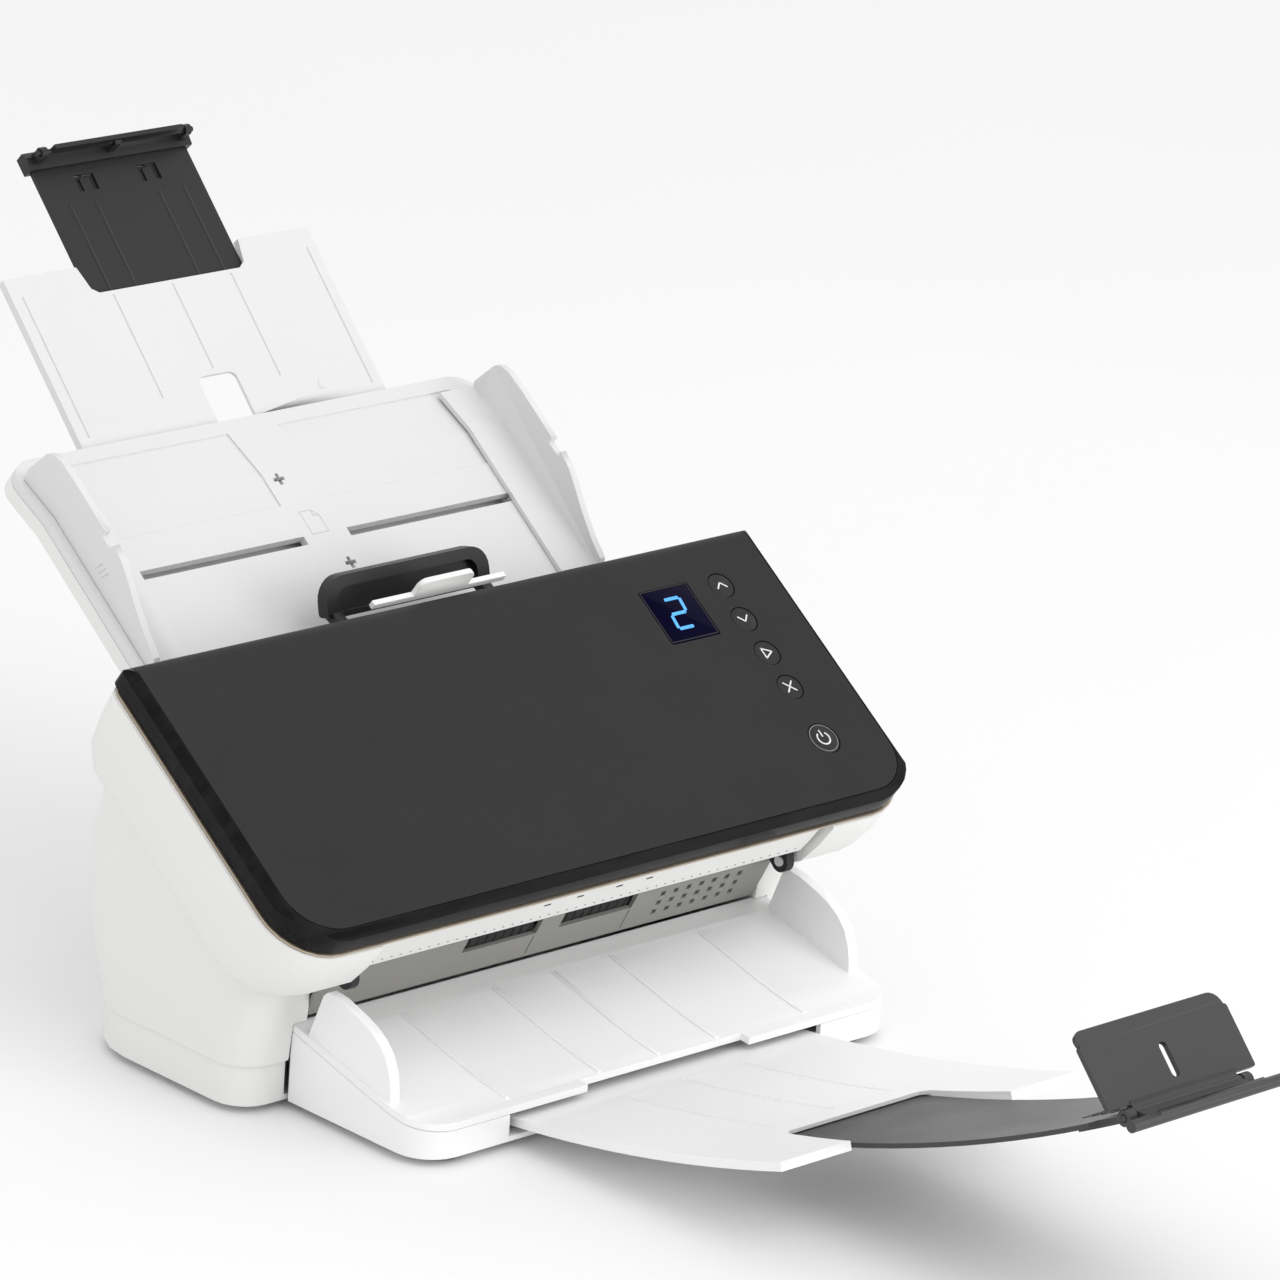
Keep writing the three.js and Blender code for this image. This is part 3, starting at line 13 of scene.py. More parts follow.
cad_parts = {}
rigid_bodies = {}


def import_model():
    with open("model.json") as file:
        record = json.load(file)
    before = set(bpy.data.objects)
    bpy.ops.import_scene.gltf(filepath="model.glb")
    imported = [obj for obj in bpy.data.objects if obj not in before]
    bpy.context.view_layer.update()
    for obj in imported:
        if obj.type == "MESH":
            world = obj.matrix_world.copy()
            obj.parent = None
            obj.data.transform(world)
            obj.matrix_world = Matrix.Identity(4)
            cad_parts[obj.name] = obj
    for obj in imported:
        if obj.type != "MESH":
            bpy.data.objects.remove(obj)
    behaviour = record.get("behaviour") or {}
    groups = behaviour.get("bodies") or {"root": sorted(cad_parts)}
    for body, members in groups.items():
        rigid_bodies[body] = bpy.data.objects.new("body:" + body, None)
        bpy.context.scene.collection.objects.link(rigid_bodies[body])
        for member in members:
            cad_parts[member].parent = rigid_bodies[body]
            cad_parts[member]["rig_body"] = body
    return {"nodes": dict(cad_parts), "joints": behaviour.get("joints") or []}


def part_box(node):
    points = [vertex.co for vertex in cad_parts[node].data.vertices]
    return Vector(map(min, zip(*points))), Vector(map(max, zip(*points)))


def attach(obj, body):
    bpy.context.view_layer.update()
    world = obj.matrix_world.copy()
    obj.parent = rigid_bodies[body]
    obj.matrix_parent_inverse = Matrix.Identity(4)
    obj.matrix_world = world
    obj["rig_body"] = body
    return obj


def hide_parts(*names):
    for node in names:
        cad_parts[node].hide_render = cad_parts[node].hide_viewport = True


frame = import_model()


MM = 0.001
LOG = logging.getLogger("scanner")


# ---------------------------------------------------------------- shader writing
class Signal:
    """A shader socket that can be used in ordinary sums."""

    def __init__(self, graph: "Graph", socket: bpy.types.NodeSocket) -> None:
        """Keeps the graph and the socket.

        Args:
            graph: The graph that the socket belongs to.
            socket: The output socket.
        """
        self.graph = graph
        self.socket = socket

    def _math(self, operation: str, first: object, second: object) -> "Signal":
        """One Math node.

        Args:
            operation: The node's operation.
            first: The first value.
            second: The second value.

        Returns:
            The node's result.
        """
        return self.graph.node("ShaderNodeMath", {"operation": operation}, {0: first, 1: second})

    def __add__(self, other: object) -> "Signal":
        """Sum."""
        return self._math("ADD", self, other)

    def __radd__(self, other: object) -> "Signal":
        """Sum, the other way round."""
        return self._math("ADD", other, self)

    def __sub__(self, other: object) -> "Signal":
        """Difference."""
        return self._math("SUBTRACT", self, other)

    def __rsub__(self, other: object) -> "Signal":
        """Difference, the other way round."""
        return self._math("SUBTRACT", other, self)

    def __mul__(self, other: object) -> "Signal":
        """Product."""
        return self._math("MULTIPLY", self, other)

    def __rmul__(self, other: object) -> "Signal":
        """Product, the other way round."""
        return self._math("MULTIPLY", other, self)


class Graph:
    """Writes one material's nodes."""

    def __init__(self, name: str) -> None:
        """Starts an empty material.

        Args:
            name: The material's name.
        """
        self.material = bpy.data.materials.new(name)
        self.material.use_nodes = True
        self.tree = self.material.node_tree
        self.tree.nodes.clear()
        self.out = self.tree.nodes.new("ShaderNodeOutputMaterial")
        self.place = self.node("ShaderNodeTexCoord", {}, {}, "Object")

    def node(
        self,
        kind: str,
        settings: dict[str, object],
        inputs: dict[object, object],
        output: object = 0,
    ) -> Signal:
        """Adds a node, its settings first.

        Args:
            kind: The node's type.
            settings: Attributes set before the sockets; "stops" fills a ramp.
            inputs: Socket name or number to a value or a Signal.
            output: The output socket that is returned.

        Returns:
            The chosen output.
        """
        made = self.tree.nodes.new(kind)
        for key, value in settings.items():
            if key == "stops":
                self._stops(made, value)
            else:
                setattr(made, key, value)
        for key, value in inputs.items():
            socket = made.inputs[key]
            if isinstance(value, Signal):
                self.tree.links.new(value.socket, socket)
            else:
                socket.default_value = value
        return Signal(self, made.outputs[output])

    @staticmethod
    def _stops(made: bpy.types.Node, stops: Sequence[tuple[float, float]]) -> None:
        """Fills a colour ramp with grey stops.

        Args:
            made: The ramp node.
            stops: Position and grey level of each stop.
        """
        ramp = made.color_ramp
        while len(ramp.elements) < len(stops):
            ramp.elements.new(0.5)
        for element, (position, level) in zip(ramp.elements, stops):
            element.position = position
            element.color = (level, level, level, 1)

    def noise(self, scale: float, detail: float = 2.0, stretch: Sequence[float] = (1, 1, 1)) -> Signal:
        """A noise on the piece's own coordinates.

        Args:
            scale: Waves per metre.
            detail: Octaves.
            stretch: Scale along each axis.

        Returns:
            A value round 0.5.
        """
        vector = self.node("ShaderNodeMapping", {}, {"Vector": self.place, "Scale": tuple(stretch)})
        return self.node("ShaderNodeTexNoise", {}, {"Vector": vector, "Scale": scale, "Detail": detail})

    def ramp(self, value: Signal, stops: Sequence[tuple[float, float]]) -> Signal:
        """A value through grey stops.

        Args:
            value: The value.
            stops: Position and grey level of each stop.

        Returns:
            The level.
        """
        return self.node("ShaderNodeValToRGB", {"stops": stops}, {"Fac": value})

    def blend(self, amount: Signal, low: Sequence[float], high: Sequence[float]) -> Signal:
        """A colour between two.

        Args:
            amount: 0 for the first colour, 1 for the second.
            low: First colour.
            high: Second colour.

        Returns:
            The colour.
        """
        inputs = {0: amount, 6: (*low, 1), 7: (*high, 1)}
        return self.node("ShaderNodeMix", {"data_type": "RGBA"}, inputs, 2)

    def edge_wear(self) -> Signal:
        """A mask that is 1 on edges and 0 elsewhere, broken up by noise.

        Returns:
            The mask.
        """
        rounded = self.node("ShaderNodeBevel", {"samples": 4}, {"Radius": 0.0006})
        flat = self.node("ShaderNodeNewGeometry", {}, {}, "Normal")
        match = self.node("ShaderNodeVectorMath", {"operation": "DOT_PRODUCT"}, {0: rounded, 1: flat}, 1)
        edge = self.ramp(match, [(0.8, 1.0), (0.985, 0.0)])
        return edge * self.ramp(self.noise(220, 3), [(0.4, 0.0), (0.62, 1.0)])

    def finish(self, inputs: dict[str, object], height: Signal, depth: float) -> bpy.types.Material:
        """Ends the material in a Principled shader.

        Args:
            inputs: The shader's sockets.
            height: The bump's height.
            depth: The bump's depth in metres.

        Returns:
            The material.
        """
        bump = self.node("ShaderNodeBump", {}, {"Strength": 0.8, "Distance": depth, "Height": height})
        shader = self.node("ShaderNodeBsdfPrincipled", {}, {**inputs, "Normal": bump})
        self.tree.links.new(shader.socket, self.out.inputs["Surface"])
        return self.material


# ---------------------------------------------------------------- finishes
@dataclass(frozen=True)
class Moulded:
    """Spark-textured moulded plastic.

    Attributes:
        name: The material's name.
        colour: Linear colour.
        shade: How much darker the handled patches are.
        roughness: Middle roughness.
        grain: Waves of the texture per metre.
        depth: Depth of the texture in metres.
        gleam: Specular level.
    """

    name: str
    colour: tuple[float, float, float]
    shade: float = 0.94
    roughness: float = 0.5
    grain: float = 1500
    depth: float = 0.00003
    gleam: float = 0.5

    def build(self) -> bpy.types.Material:
        """Writes the material.

        Returns:
            The material.
        """
        g = Graph(self.name)
        cloud = g.ramp(g.noise(9, 3), [(0.35, 0.0), (0.7, 1.0)])
        fine = g.noise(self.grain, 2)
        dark = tuple(c * self.shade for c in self.colour)
        light = tuple(min(1.0, c * (2 - self.shade)) for c in self.colour)
        mixed = g.blend(cloud * 0.6 + g.ramp(fine, [(0.3, 0.0), (0.75, 1.0)]) * 0.4, dark, light)
        pale = tuple(min(1.0, c * 1.25 + 0.02) for c in self.colour)
        inputs = {0: g.edge_wear() * 0.35, 6: mixed, 7: (*pale, 1)}
        worn = g.node("ShaderNodeMix", {"data_type": "RGBA"}, inputs, 2)
        rough = (fine - 0.5) * 0.16 + (g.noise(30, 4) - 0.5) * 0.14 + self.roughness
        sockets = {"Base Color": worn, "Roughness": rough, "Specular IOR Level": self.gleam}
        return g.finish(sockets, fine + g.noise(self.grain * 0.35, 3) * 0.6, self.depth)


@dataclass(frozen=True)
class Polished:
    """High-gloss plastic with faint wipe marks.

    Attributes:
        name: The material's name.
        colour: Linear colour.
        roughness: Middle roughness.
    """

    name: str
    colour: tuple[float, float, float]
    roughness: float = 0.12

    def build(self) -> bpy.types.Material:
        """Writes the material.

        Returns:
            The material.
        """
        g = Graph(self.name)
        wipe = g.noise(26, 5, (1, 6, 6))
        smear = g.ramp(wipe, [(0.42, 0.0), (0.66, 1.0)])
        pale = tuple(c * 1.5 + 0.004 for c in self.colour)
        sockets = {
            "Base Color": g.blend(smear, self.colour, pale),
            "Roughness": smear * 0.12 + self.roughness,
            "Specular IOR Level": 0.12,
        }
        return g.finish(sockets, g.noise(60, 2), 0.00001)


@dataclass(frozen=True)
class Metal:
    """Turned or brushed metal.

    Attributes:
        name: The material's name.
        colour: Linear colour.
        roughness: Middle roughness.
        lines: Stretch of the brush lines along each axis.
        metallic: Metallic value.
    """

    name: str
    colour: tuple[float, float, float]
    roughness: float = 0.32
    lines: tuple[float, float, float] = (1, 14, 14)
    metallic: float = 1.0

    def build(self) -> bpy.types.Material:
        """Writes the material.

        Returns:
            The material.
        """
        g = Graph(self.name)
        brush = g.noise(160, 4, self.lines)
        stain = g.ramp(g.noise(45, 4), [(0.45, 0.0), (0.75, 1.0)])
        dull = tuple(c * 0.72 for c in self.colour)
        sockets = {
            "Base Color": g.blend(stain * 0.6, self.colour, dull),
            "Roughness": (brush - 0.5) * 0.3 + stain * 0.1 + self.roughness,
            "Metallic": self.metallic,
        }
        return g.finish(sockets, brush, 0.00002)


@dataclass(frozen=True)
class Rubber:
    """Ground rubber with paper dust.

    Attributes:
        name: The material's name.
        colour: Linear colour.
    """

    name: str
    colour: tuple[float, float, float]

    def build(self) -> bpy.types.Material:
        """Writes the material.

        Returns:
            The material.
        """
        g = Graph(self.name)
        dust = g.ramp(g.noise(420, 4), [(0.5, 0.0), (0.72, 1.0)])
        pale = tuple(c * 2.2 + 0.02 for c in self.colour)
        sockets = {
            "Base Color": g.blend(dust * 0.5, self.colour, pale),
            "Roughness": dust * 0.1 + 0.78,
        }
        return g.finish(sockets, g.noise(1800, 3), 0.00008)


@dataclass(frozen=True)
class CircuitBoard:
    """Green solder mask over copper tracks.

    Attributes:
        name: The material's name.
        tracks: Cells of the track pattern per metre.
    """

    name: str = "solder_mask"
    tracks: float = 260.0

    def build(self) -> bpy.types.Material:
        """Writes the material.

        Returns:
            The material.
        """
        g = Graph(self.name)
        inputs = {"Vector": g.place, "Scale": self.tracks}
        cells = g.node("ShaderNodeTexVoronoi", {"distance": "MANHATTAN"}, inputs)
        line = g.ramp(cells, [(0.28, 0.0), (0.34, 1.0)])
        sockets = {
            "Base Color": g.blend(line, (0.012, 0.09, 0.035), (0.03, 0.2, 0.07)),
            "Roughness": line * 0.15 + 0.3,
        }
        return g.finish(sockets, line, 0.00004)


@dataclass(frozen=True)
class LitScreen:
    """The dark blue display under its lens.

    Attributes:
        name: The material's name.
        glow: Light it gives off.
    """

    name: str = "display_blue"
    glow: float = 0.35

    def build(self) -> bpy.types.Material:
        """Writes the material.

        Returns:
            The material.
        """
        g = Graph(self.name)
        cells = g.noise(2600, 1)
        glow = g.ramp(g.noise(40, 2), [(0.2, 0.4), (0.9, 1.0)])
        colour = g.blend(cells * glow, (0.0008, 0.0006, 0.007), (0.003, 0.002, 0.02))
        sockets = {
            "Base Color": colour,
            "Emission Color": colour,
            "Emission Strength": self.glow,
            "Roughness": g.ramp(g.noise(50, 3), [(0.3, 0.22), (0.8, 0.34)]),
            "Specular IOR Level": 0.02,
        }
        return g.finish(sockets, cells, 0.000004)


@dataclass(frozen=True)
class Ink:
    """Pad print, slightly uneven.

    Attributes:
        name: The material's name.
        colour: Linear colour.
        glow: Light it gives off.
    """

    name: str
    colour: tuple[float, float, float]
    glow: float = 0.0

    def build(self) -> bpy.types.Material:
        """Writes the material.

        Returns:
            The material.
        """
        g = Graph(self.name)
        wear = g.ramp(g.noise(900, 3), [(0.3, 0.0), (0.7, 1.0)])
        dull = tuple(c * 0.8 for c in self.colour)
        colour = g.blend(wear, dull, self.colour)
        sockets = {
            "Base Color": colour,
            "Emission Color": colour,
            "Emission Strength": self.glow,
            "Roughness": wear * 0.15 + 0.4,
        }
        return g.finish(sockets, wear, 0.000005)


class Finish(Enum):
    """Every finish on the scanner, with the record's slot it stands for."""

    WHITE = (Moulded("white_shell", (0.79, 0.79, 0.785), 0.988, 0.47), "white_shell")
    # The shell's white plastic painted darker: painted shade on the input tray, its guides and its first
    # extension.
    TRAY_WHITE = (Moulded("tray_white_painted_shade", (0.70, 0.702, 0.705), 0.985, 0.42), "white_shell")
    # The shell's white plastic painted lighter: painted light on the output housing, plate and first
    # extension, which sit in shade.
    EXIT_WHITE = (Moulded("exit_white_painted_light", (0.90, 0.90, 0.902), 0.988, 0.40), "white_shell")
    PANEL = (Moulded("panel_black", (0.017, 0.017, 0.018), 0.92, 0.56, 2100, 0.00004, 0.25), "black_shell")
    BLACK = (Moulded("part_black", (0.017, 0.017, 0.018), 0.9, 0.42, 1700, 0.00003, 0.35), "black_shell")
    CHARCOAL = (Moulded("slide_charcoal", (0.036, 0.036, 0.039), 0.92, 0.4, 1300, 0.00003), "black_shell")
    KEY = (Moulded("key_black", (0.013, 0.013, 0.014), 0.9, 0.4, 900, 0.00001, 0.3), "black_shell")
    GLOSS = (Polished("rim_gloss", (0.003, 0.003, 0.0032)), "gloss_rim")
    TRIM = (Metal("trim_champagne", (0.50, 0.43, 0.34), 0.34, (1, 8, 8), 0.85), "trim_line")
    GREY = (Moulded("wall_grey", (0.29, 0.286, 0.27), 0.95, 0.5), "grey_wall")
    DARK = (Moulded("frame_dark", (0.03, 0.031, 0.034), 0.85, 0.6, 800, 0.00005, 0.3), "dark_frame")
    RUBBER = (Rubber("roller_rubber", (0.016, 0.016, 0.017)), "rubber")
    STEEL = (Metal("ground_steel", (0.56, 0.57, 0.58)), "steel")
    GEAR = (Moulded("gear_acetal", (0.76, 0.72, 0.62), 0.93, 0.4, 700), "gear_plastic")
    BOARD = (CircuitBoard(), "circuit_board")
    SCREEN = (LitScreen(), "display")
    ICON = (Ink("icon_print", (0.82, 0.83, 0.84)), "black_shell")
    # A thin grey ring on the power key: a painted highlight, made with the print recipe.
    RING = (Ink("power_ring_highlight", (0.22, 0.22, 0.23)), "black_shell")
    DIGIT = (Ink("digit_blue", (0.06, 0.30, 0.66), 0.8), "display")
    MARK = (Ink("tray_print", (0.58, 0.59, 0.60)), "white_shell")
    SHADOW = (Moulded("recess_dark", (0.012, 0.012, 0.013), 0.8, 0.7), "dark_frame")

    def material(self) -> bpy.types.Material:
        """The finish's material, written once.

        Returns:
            The material.
        """
        recipe = self.value[0]
        found = bpy.data.materials.get(recipe.name)
        return found or recipe.build()

    @property
    def slot(self) -> str:
        """The record's slot."""
        return self.value[1]


# ---------------------------------------------------------------- workshop
@dataclass
class Workshop:
    """Makes pieces and hangs them on their bodies.

    Attributes:
        print_rise: How far a print stands out in millimetres.
        weld: Distance in metres under which a CAD node's corners are one.
        level: Angle in degrees under which two neighbouring faces are one.
    """

    print_rise: float = 0.06
    weld: float = 0.000004
    level: float = 0.03

    def hand_over(
        self,
        name: str,
        shape: bmesh.types.BMesh,
        body: str,
        finish: Finish,
        stands_for: Iterable[str] = (),
        crease: float = 32.0,
        bevel: float = 0.0,
    ) -> bpy.types.Object:
        """Turns a bmesh into a piece.

        Args:
            name: The piece's name.
            shape: The finished shape, in place; it is freed.
            body: The body it rides on.
            finish: Its finish.
            stands_for: CAD nodes it stands for.
            crease: Angle in degrees above which an edge stays sharp.
            bevel: Width of its rounded edges in millimetres.

        Returns:
            The object.
        """
        mesh = bpy.data.meshes.new(name)
        shape.to_mesh(mesh)
        shape.free()
        for face in mesh.polygons:
            face.use_smooth = True
        mesh.set_sharp_from_angle(angle=math.radians(crease))
        mesh.materials.append(finish.material())
        piece = bpy.data.objects.new(name, mesh)
        bpy.context.scene.collection.objects.link(piece)
        if bevel:
            rounder = piece.modifiers.new("rounded_edges", "BEVEL")
            rounder.width = bevel * MM
            rounder.segments = 2
            rounder.limit_method = "ANGLE"
            rounder.angle_limit = math.radians(crease)
            rounder.harden_normals = True
            rounder.use_clamp_overlap = True
        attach(piece, body)
        names = list(stands_for)
        if names:
            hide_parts(*names)
        LOG.info("%s on %s", name, body)
        return piece

    def refine(self, node: str, finish: Finish, bevel: float = 0.3, crease: float = 32.0) -> bpy.types.Object:
        """A copy of a CAD node with rounded edges and smooth faces.

        Args:
            node: The CAD node.
            finish: Its finish.
            bevel: Width of the rounded edges in millimetres.
            crease: Angle in degrees above which an edge stays sharp.

        Returns:
            The piece.
        """
        source = frame["nodes"][node]
        shape = bmesh.new()
        shape.from_mesh(source.data)
        bmesh.ops.remove_doubles(shape, verts=shape.verts, dist=self.weld)
        level = math.radians(self.level)
        bmesh.ops.dissolve_limit(shape, angle_limit=level, verts=shape.verts, edges=shape.edges)
        body = source["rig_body"]
        return self.hand_over(node + "_skin", shape, body, finish, (node,), crease, bevel)

    @staticmethod
    def centre(node: str) -> Vector:
        """The middle of a CAD node's box.

        Args:
            node: The CAD node.

        Returns:
            The point.
        """
        low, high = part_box(node)
        return (low + high) / 2

    @staticmethod
    def thicken(shape: bmesh.types.BMesh, thick: float, place: Matrix) -> bmesh.types.BMesh:
        """Gives a flat shape a thickness and puts it in place.

        Args:
            shape: A flat shape on the plane Z = 0; it is changed.
            thick: Thickness in millimetres.
            place: Where the plane lies.

        Returns:
            The same shape.
        """
        grown = bmesh.ops.extrude_face_region(shape, geom=list(shape.faces))
        tops = [item for item in grown["geom"] if isinstance(item, bmesh.types.BMVert)]
        bmesh.ops.translate(shape, verts=tops, vec=(0, 0, thick * MM))
        bmesh.ops.recalc_face_normals(shape, faces=shape.faces)
        bmesh.ops.transform(shape, matrix=place, verts=shape.verts)
        return shape

    def plate(self, points: Sequence[tuple[float, float]], thick: float, place: Matrix) -> bmesh.types.BMesh:
        """A flat outline of a few corners, with a thickness.

        Args:
            points: The outline in millimetres, anticlockwise.
            thick: Thickness in millimetres.
            place: Where the outline's plane lies.

        Returns:
            The shape.
        """
        shape = bmesh.new()
        shape.faces.new([shape.verts.new((x * MM, y * MM, 0)) for x, y in points])
        return self.thicken(shape, thick, place)

    def dot(self, radius: float, sides: int, thick: float, place: Matrix) -> bmesh.types.BMesh:
        """A small round plate.

        Args:
            radius: Radius in millimetres.
            sides: Number of sides.
            thick: Thickness in millimetres.
            place: Where it lies.

        Returns:
            The shape.
        """
        shape = bmesh.new()
        bmesh.ops.create_circle(shape, cap_ends=True, segments=sides, radius=radius * MM)
        return self.thicken(shape, thick, place)

    def arc(
        self, radii: Sequence[float], first: float, sweep: float, steps: int, place: Matrix
    ) -> bmesh.types.BMesh:
        """A curved band of print.

        Args:
            radii: Inner and outer radius in millimetres.
            first: Angle of one end in degrees.
            sweep: Angle from that end to the other in degrees.
            steps: Steps along the band.
            place: Where the print lies.

        Returns:
            The shape.
        """
        shape = bmesh.new()
        ends = [shape.verts.new((radius * MM, 0, 0)) for radius in radii]
        edge = shape.edges.new(ends)
        turn = Matrix.Rotation(math.radians(first), 3, "Z")
        bmesh.ops.rotate(shape, verts=ends, cent=(0, 0, 0), matrix=turn)
        path = {"axis": (0, 0, 1), "cent": (0, 0, 0), "angle": math.radians(sweep), "steps": steps}
        bmesh.ops.spin(shape, geom=[*ends, edge], **path)
        bmesh.ops.remove_doubles(shape, verts=shape.verts, dist=1e-6)
        return self.thicken(shape, self.print_rise, place)

    def bar(self, x: float, y: float, a: float, b: float, place: Matrix) -> bmesh.types.BMesh:
        """A small rectangle of print with its corners taken off.

        Args:
            x: Middle along X.
            y: Middle along the slope.
            a: Half width.
            b: Half height.
            place: Where the print lies.

        Returns:
            The shape.
        """
        cut = min(a, b) * 0.5
        long, tall = a - cut, b - cut
        outline = [(x - long, y - b), (x + long, y - b), (x + a, y - tall), (x + a, y + tall)]
        outline += [(x + long, y + b), (x - long, y + b), (x - a, y + tall), (x - a, y - tall)]
        return self.plate(outline, self.print_rise, place)

    def stroke(self, ends: Sequence[float], half: float, place: Matrix) -> bmesh.types.BMesh:
        """A straight stroke of print.

        Args:
            ends: X and Y of one end, then of the other.
            half: Half its thickness.
            place: Where the print lies.

        Returns:
            The shape.
        """
        x0, y0, x1, y1 = ends
        length = math.hypot(x1 - x0, y1 - y0) / 2 + half
        turn = Matrix.Rotation(math.atan2(y1 - y0, x1 - x0), 4, "Z")
        middle = Matrix.Translation(((x0 + x1) / 2 * MM, (y0 + y1) / 2 * MM, 0))
        return self.bar(0, 0, length, half, place @ middle @ turn)

    @staticmethod
    def join(shapes: Sequence[bmesh.types.BMesh]) -> bmesh.types.BMesh:
        """Several shapes in one.

        Args:
            shapes: The shapes; they are freed.

        Returns:
            The joined shape.
        """
        whole = bmesh.new()
        for shape in shapes:
            carrier = bpy.data.meshes.new("carrier")
            shape.to_mesh(carrier)
            shape.free()
            whole.from_mesh(carrier)
            bpy.data.meshes.remove(carrier)
        return whole

    @staticmethod
    def turned(profile: Sequence[tuple[float, float]], place: Matrix, steps: int = 32) -> bmesh.types.BMesh:
        """A profile spun round its local Z axis.

        Args:
            profile: Radius and height of each point in millimetres.
            place: Where the axis lies.
            steps: Steps of the full turn.

        Returns:
            The shape.
        """
        shape = bmesh.new()
        line = [shape.verts.new((r * MM, 0, z * MM)) for r, z in profile]
        edges = [shape.edges.new(pair) for pair in zip(line, line[1:])]
        bmesh.ops.spin(
            shape,
            geom=[*line, *edges],
            axis=(0, 0, 1),
            cent=(0, 0, 0),
            angle=math.tau,
            steps=steps,
            use_merge=True,
        )
        bmesh.ops.remove_doubles(shape, verts=shape.verts, dist=1e-6)
        bmesh.ops.recalc_face_normals(shape, faces=shape.faces)
        bmesh.ops.transform(shape, matrix=place, verts=shape.verts)
        return shape


def surface_frame(spot: Vector, normal: Vector, across: Vector = Vector((1, 0, 0))) -> Matrix:
    """A frame that lies on a surface.

    Args:
        spot: A point on the surface.
        normal: The outward normal, which becomes Z.
        across: The direction that X follows as nearly as the surface lets it.

    Returns:
        The frame.
    """
    z = normal.normalized()
    x = (across - z * across.dot(z)).normalized()
    return Matrix.Translation(spot) @ Matrix((x, z.cross(x), z)).transposed().to_4x4()


def land(node: str, start: Sequence[float], way: Vector, across: Vector = Vector((1, 0, 0))) -> Matrix:
    """A frame where a straight line first meets a CAD node.

    Args:
        node: The CAD node.
        start: Where the line starts, in millimetres.
        way: The line's direction.
        across: The direction that the frame's X follows.

    Returns:
        The frame, Z pointing out of the node.

    Raises:
        ValueError: If the line misses the node.
    """
    mesh = frame["nodes"][node].data
    tree = BVHTree.FromPolygons([v.co for v in mesh.vertices], [f.vertices for f in mesh.polygons])
    spot, normal, _, _ = tree.ray_cast(Vector(start) * MM, way)
    if spot is None:
        raise ValueError(f"no surface of {node} on that line")
    out = normal if normal.dot(way) < 0 else -normal
    return surface_frame(spot, out, across)


def joint_axis(name: str) -> Vector:
    """The axis of a joint in the record.

    Args:
        name: The joint's name.

    Returns:
        The unit axis.
    """
    return Vector(next(j["axis"] for j in frame["joints"] if j["name"] == name)).normalized()


# ---------------------------------------------------------------- sub-assemblies
@dataclass
class Shells:
    """The white body: side shells, rear cover, base and feet. Lengths are in millimetres.

    Attributes:
        shop: Makes the pieces.
        edge: Rounded edge of a shell.
        screws: X and Z of each rear screw.
        head: Radius and height of each point of a screw head's profile.
        behind: How far behind the cover the search for its surface starts.
    """

    shop: Workshop
    edge: float = 0.5
    screws: tuple[tuple[float, float], ...] = ((-98, 26), (98, 26), (-98, 96), (98, 96))
    head: tuple[tuple[float, float], ...] = ((0, 0), (0, 0.5), (0.9, 0.9), (2.2, 1.1), (2.9, 0.7), (3.1, 0))
    behind: float = 20

    def build(self) -> None:
        """Makes every piece."""
        for side in ("left", "right"):
            self.shop.refine("side_shell_" + side, Finish.WHITE, self.edge, 40)
        self.shop.refine("rear_cover", Finish.WHITE, self.edge)
        self.shop.refine("base_pan", Finish.WHITE, self.edge)
        for place in ("front_left", "front_right", "rear_left", "rear_right"):
            self.shop.refine("foot_" + place, Finish.RUBBER, 0.3)
        self._screws()

    def _screws(self) -> None:
        """Round-headed screws in the rear cover."""
        _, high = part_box("rear_cover")
        heads = []
        for x, z in self.screws:
            place = land("rear_cover", (x, high.y / MM + self.behind, z), Vector((0, -1, 0)))
            heads.append(self.shop.turned(self.head, place, 20))
        self.shop.hand_over("rear_screws", self.shop.join(heads), "body", Finish.STEEL)


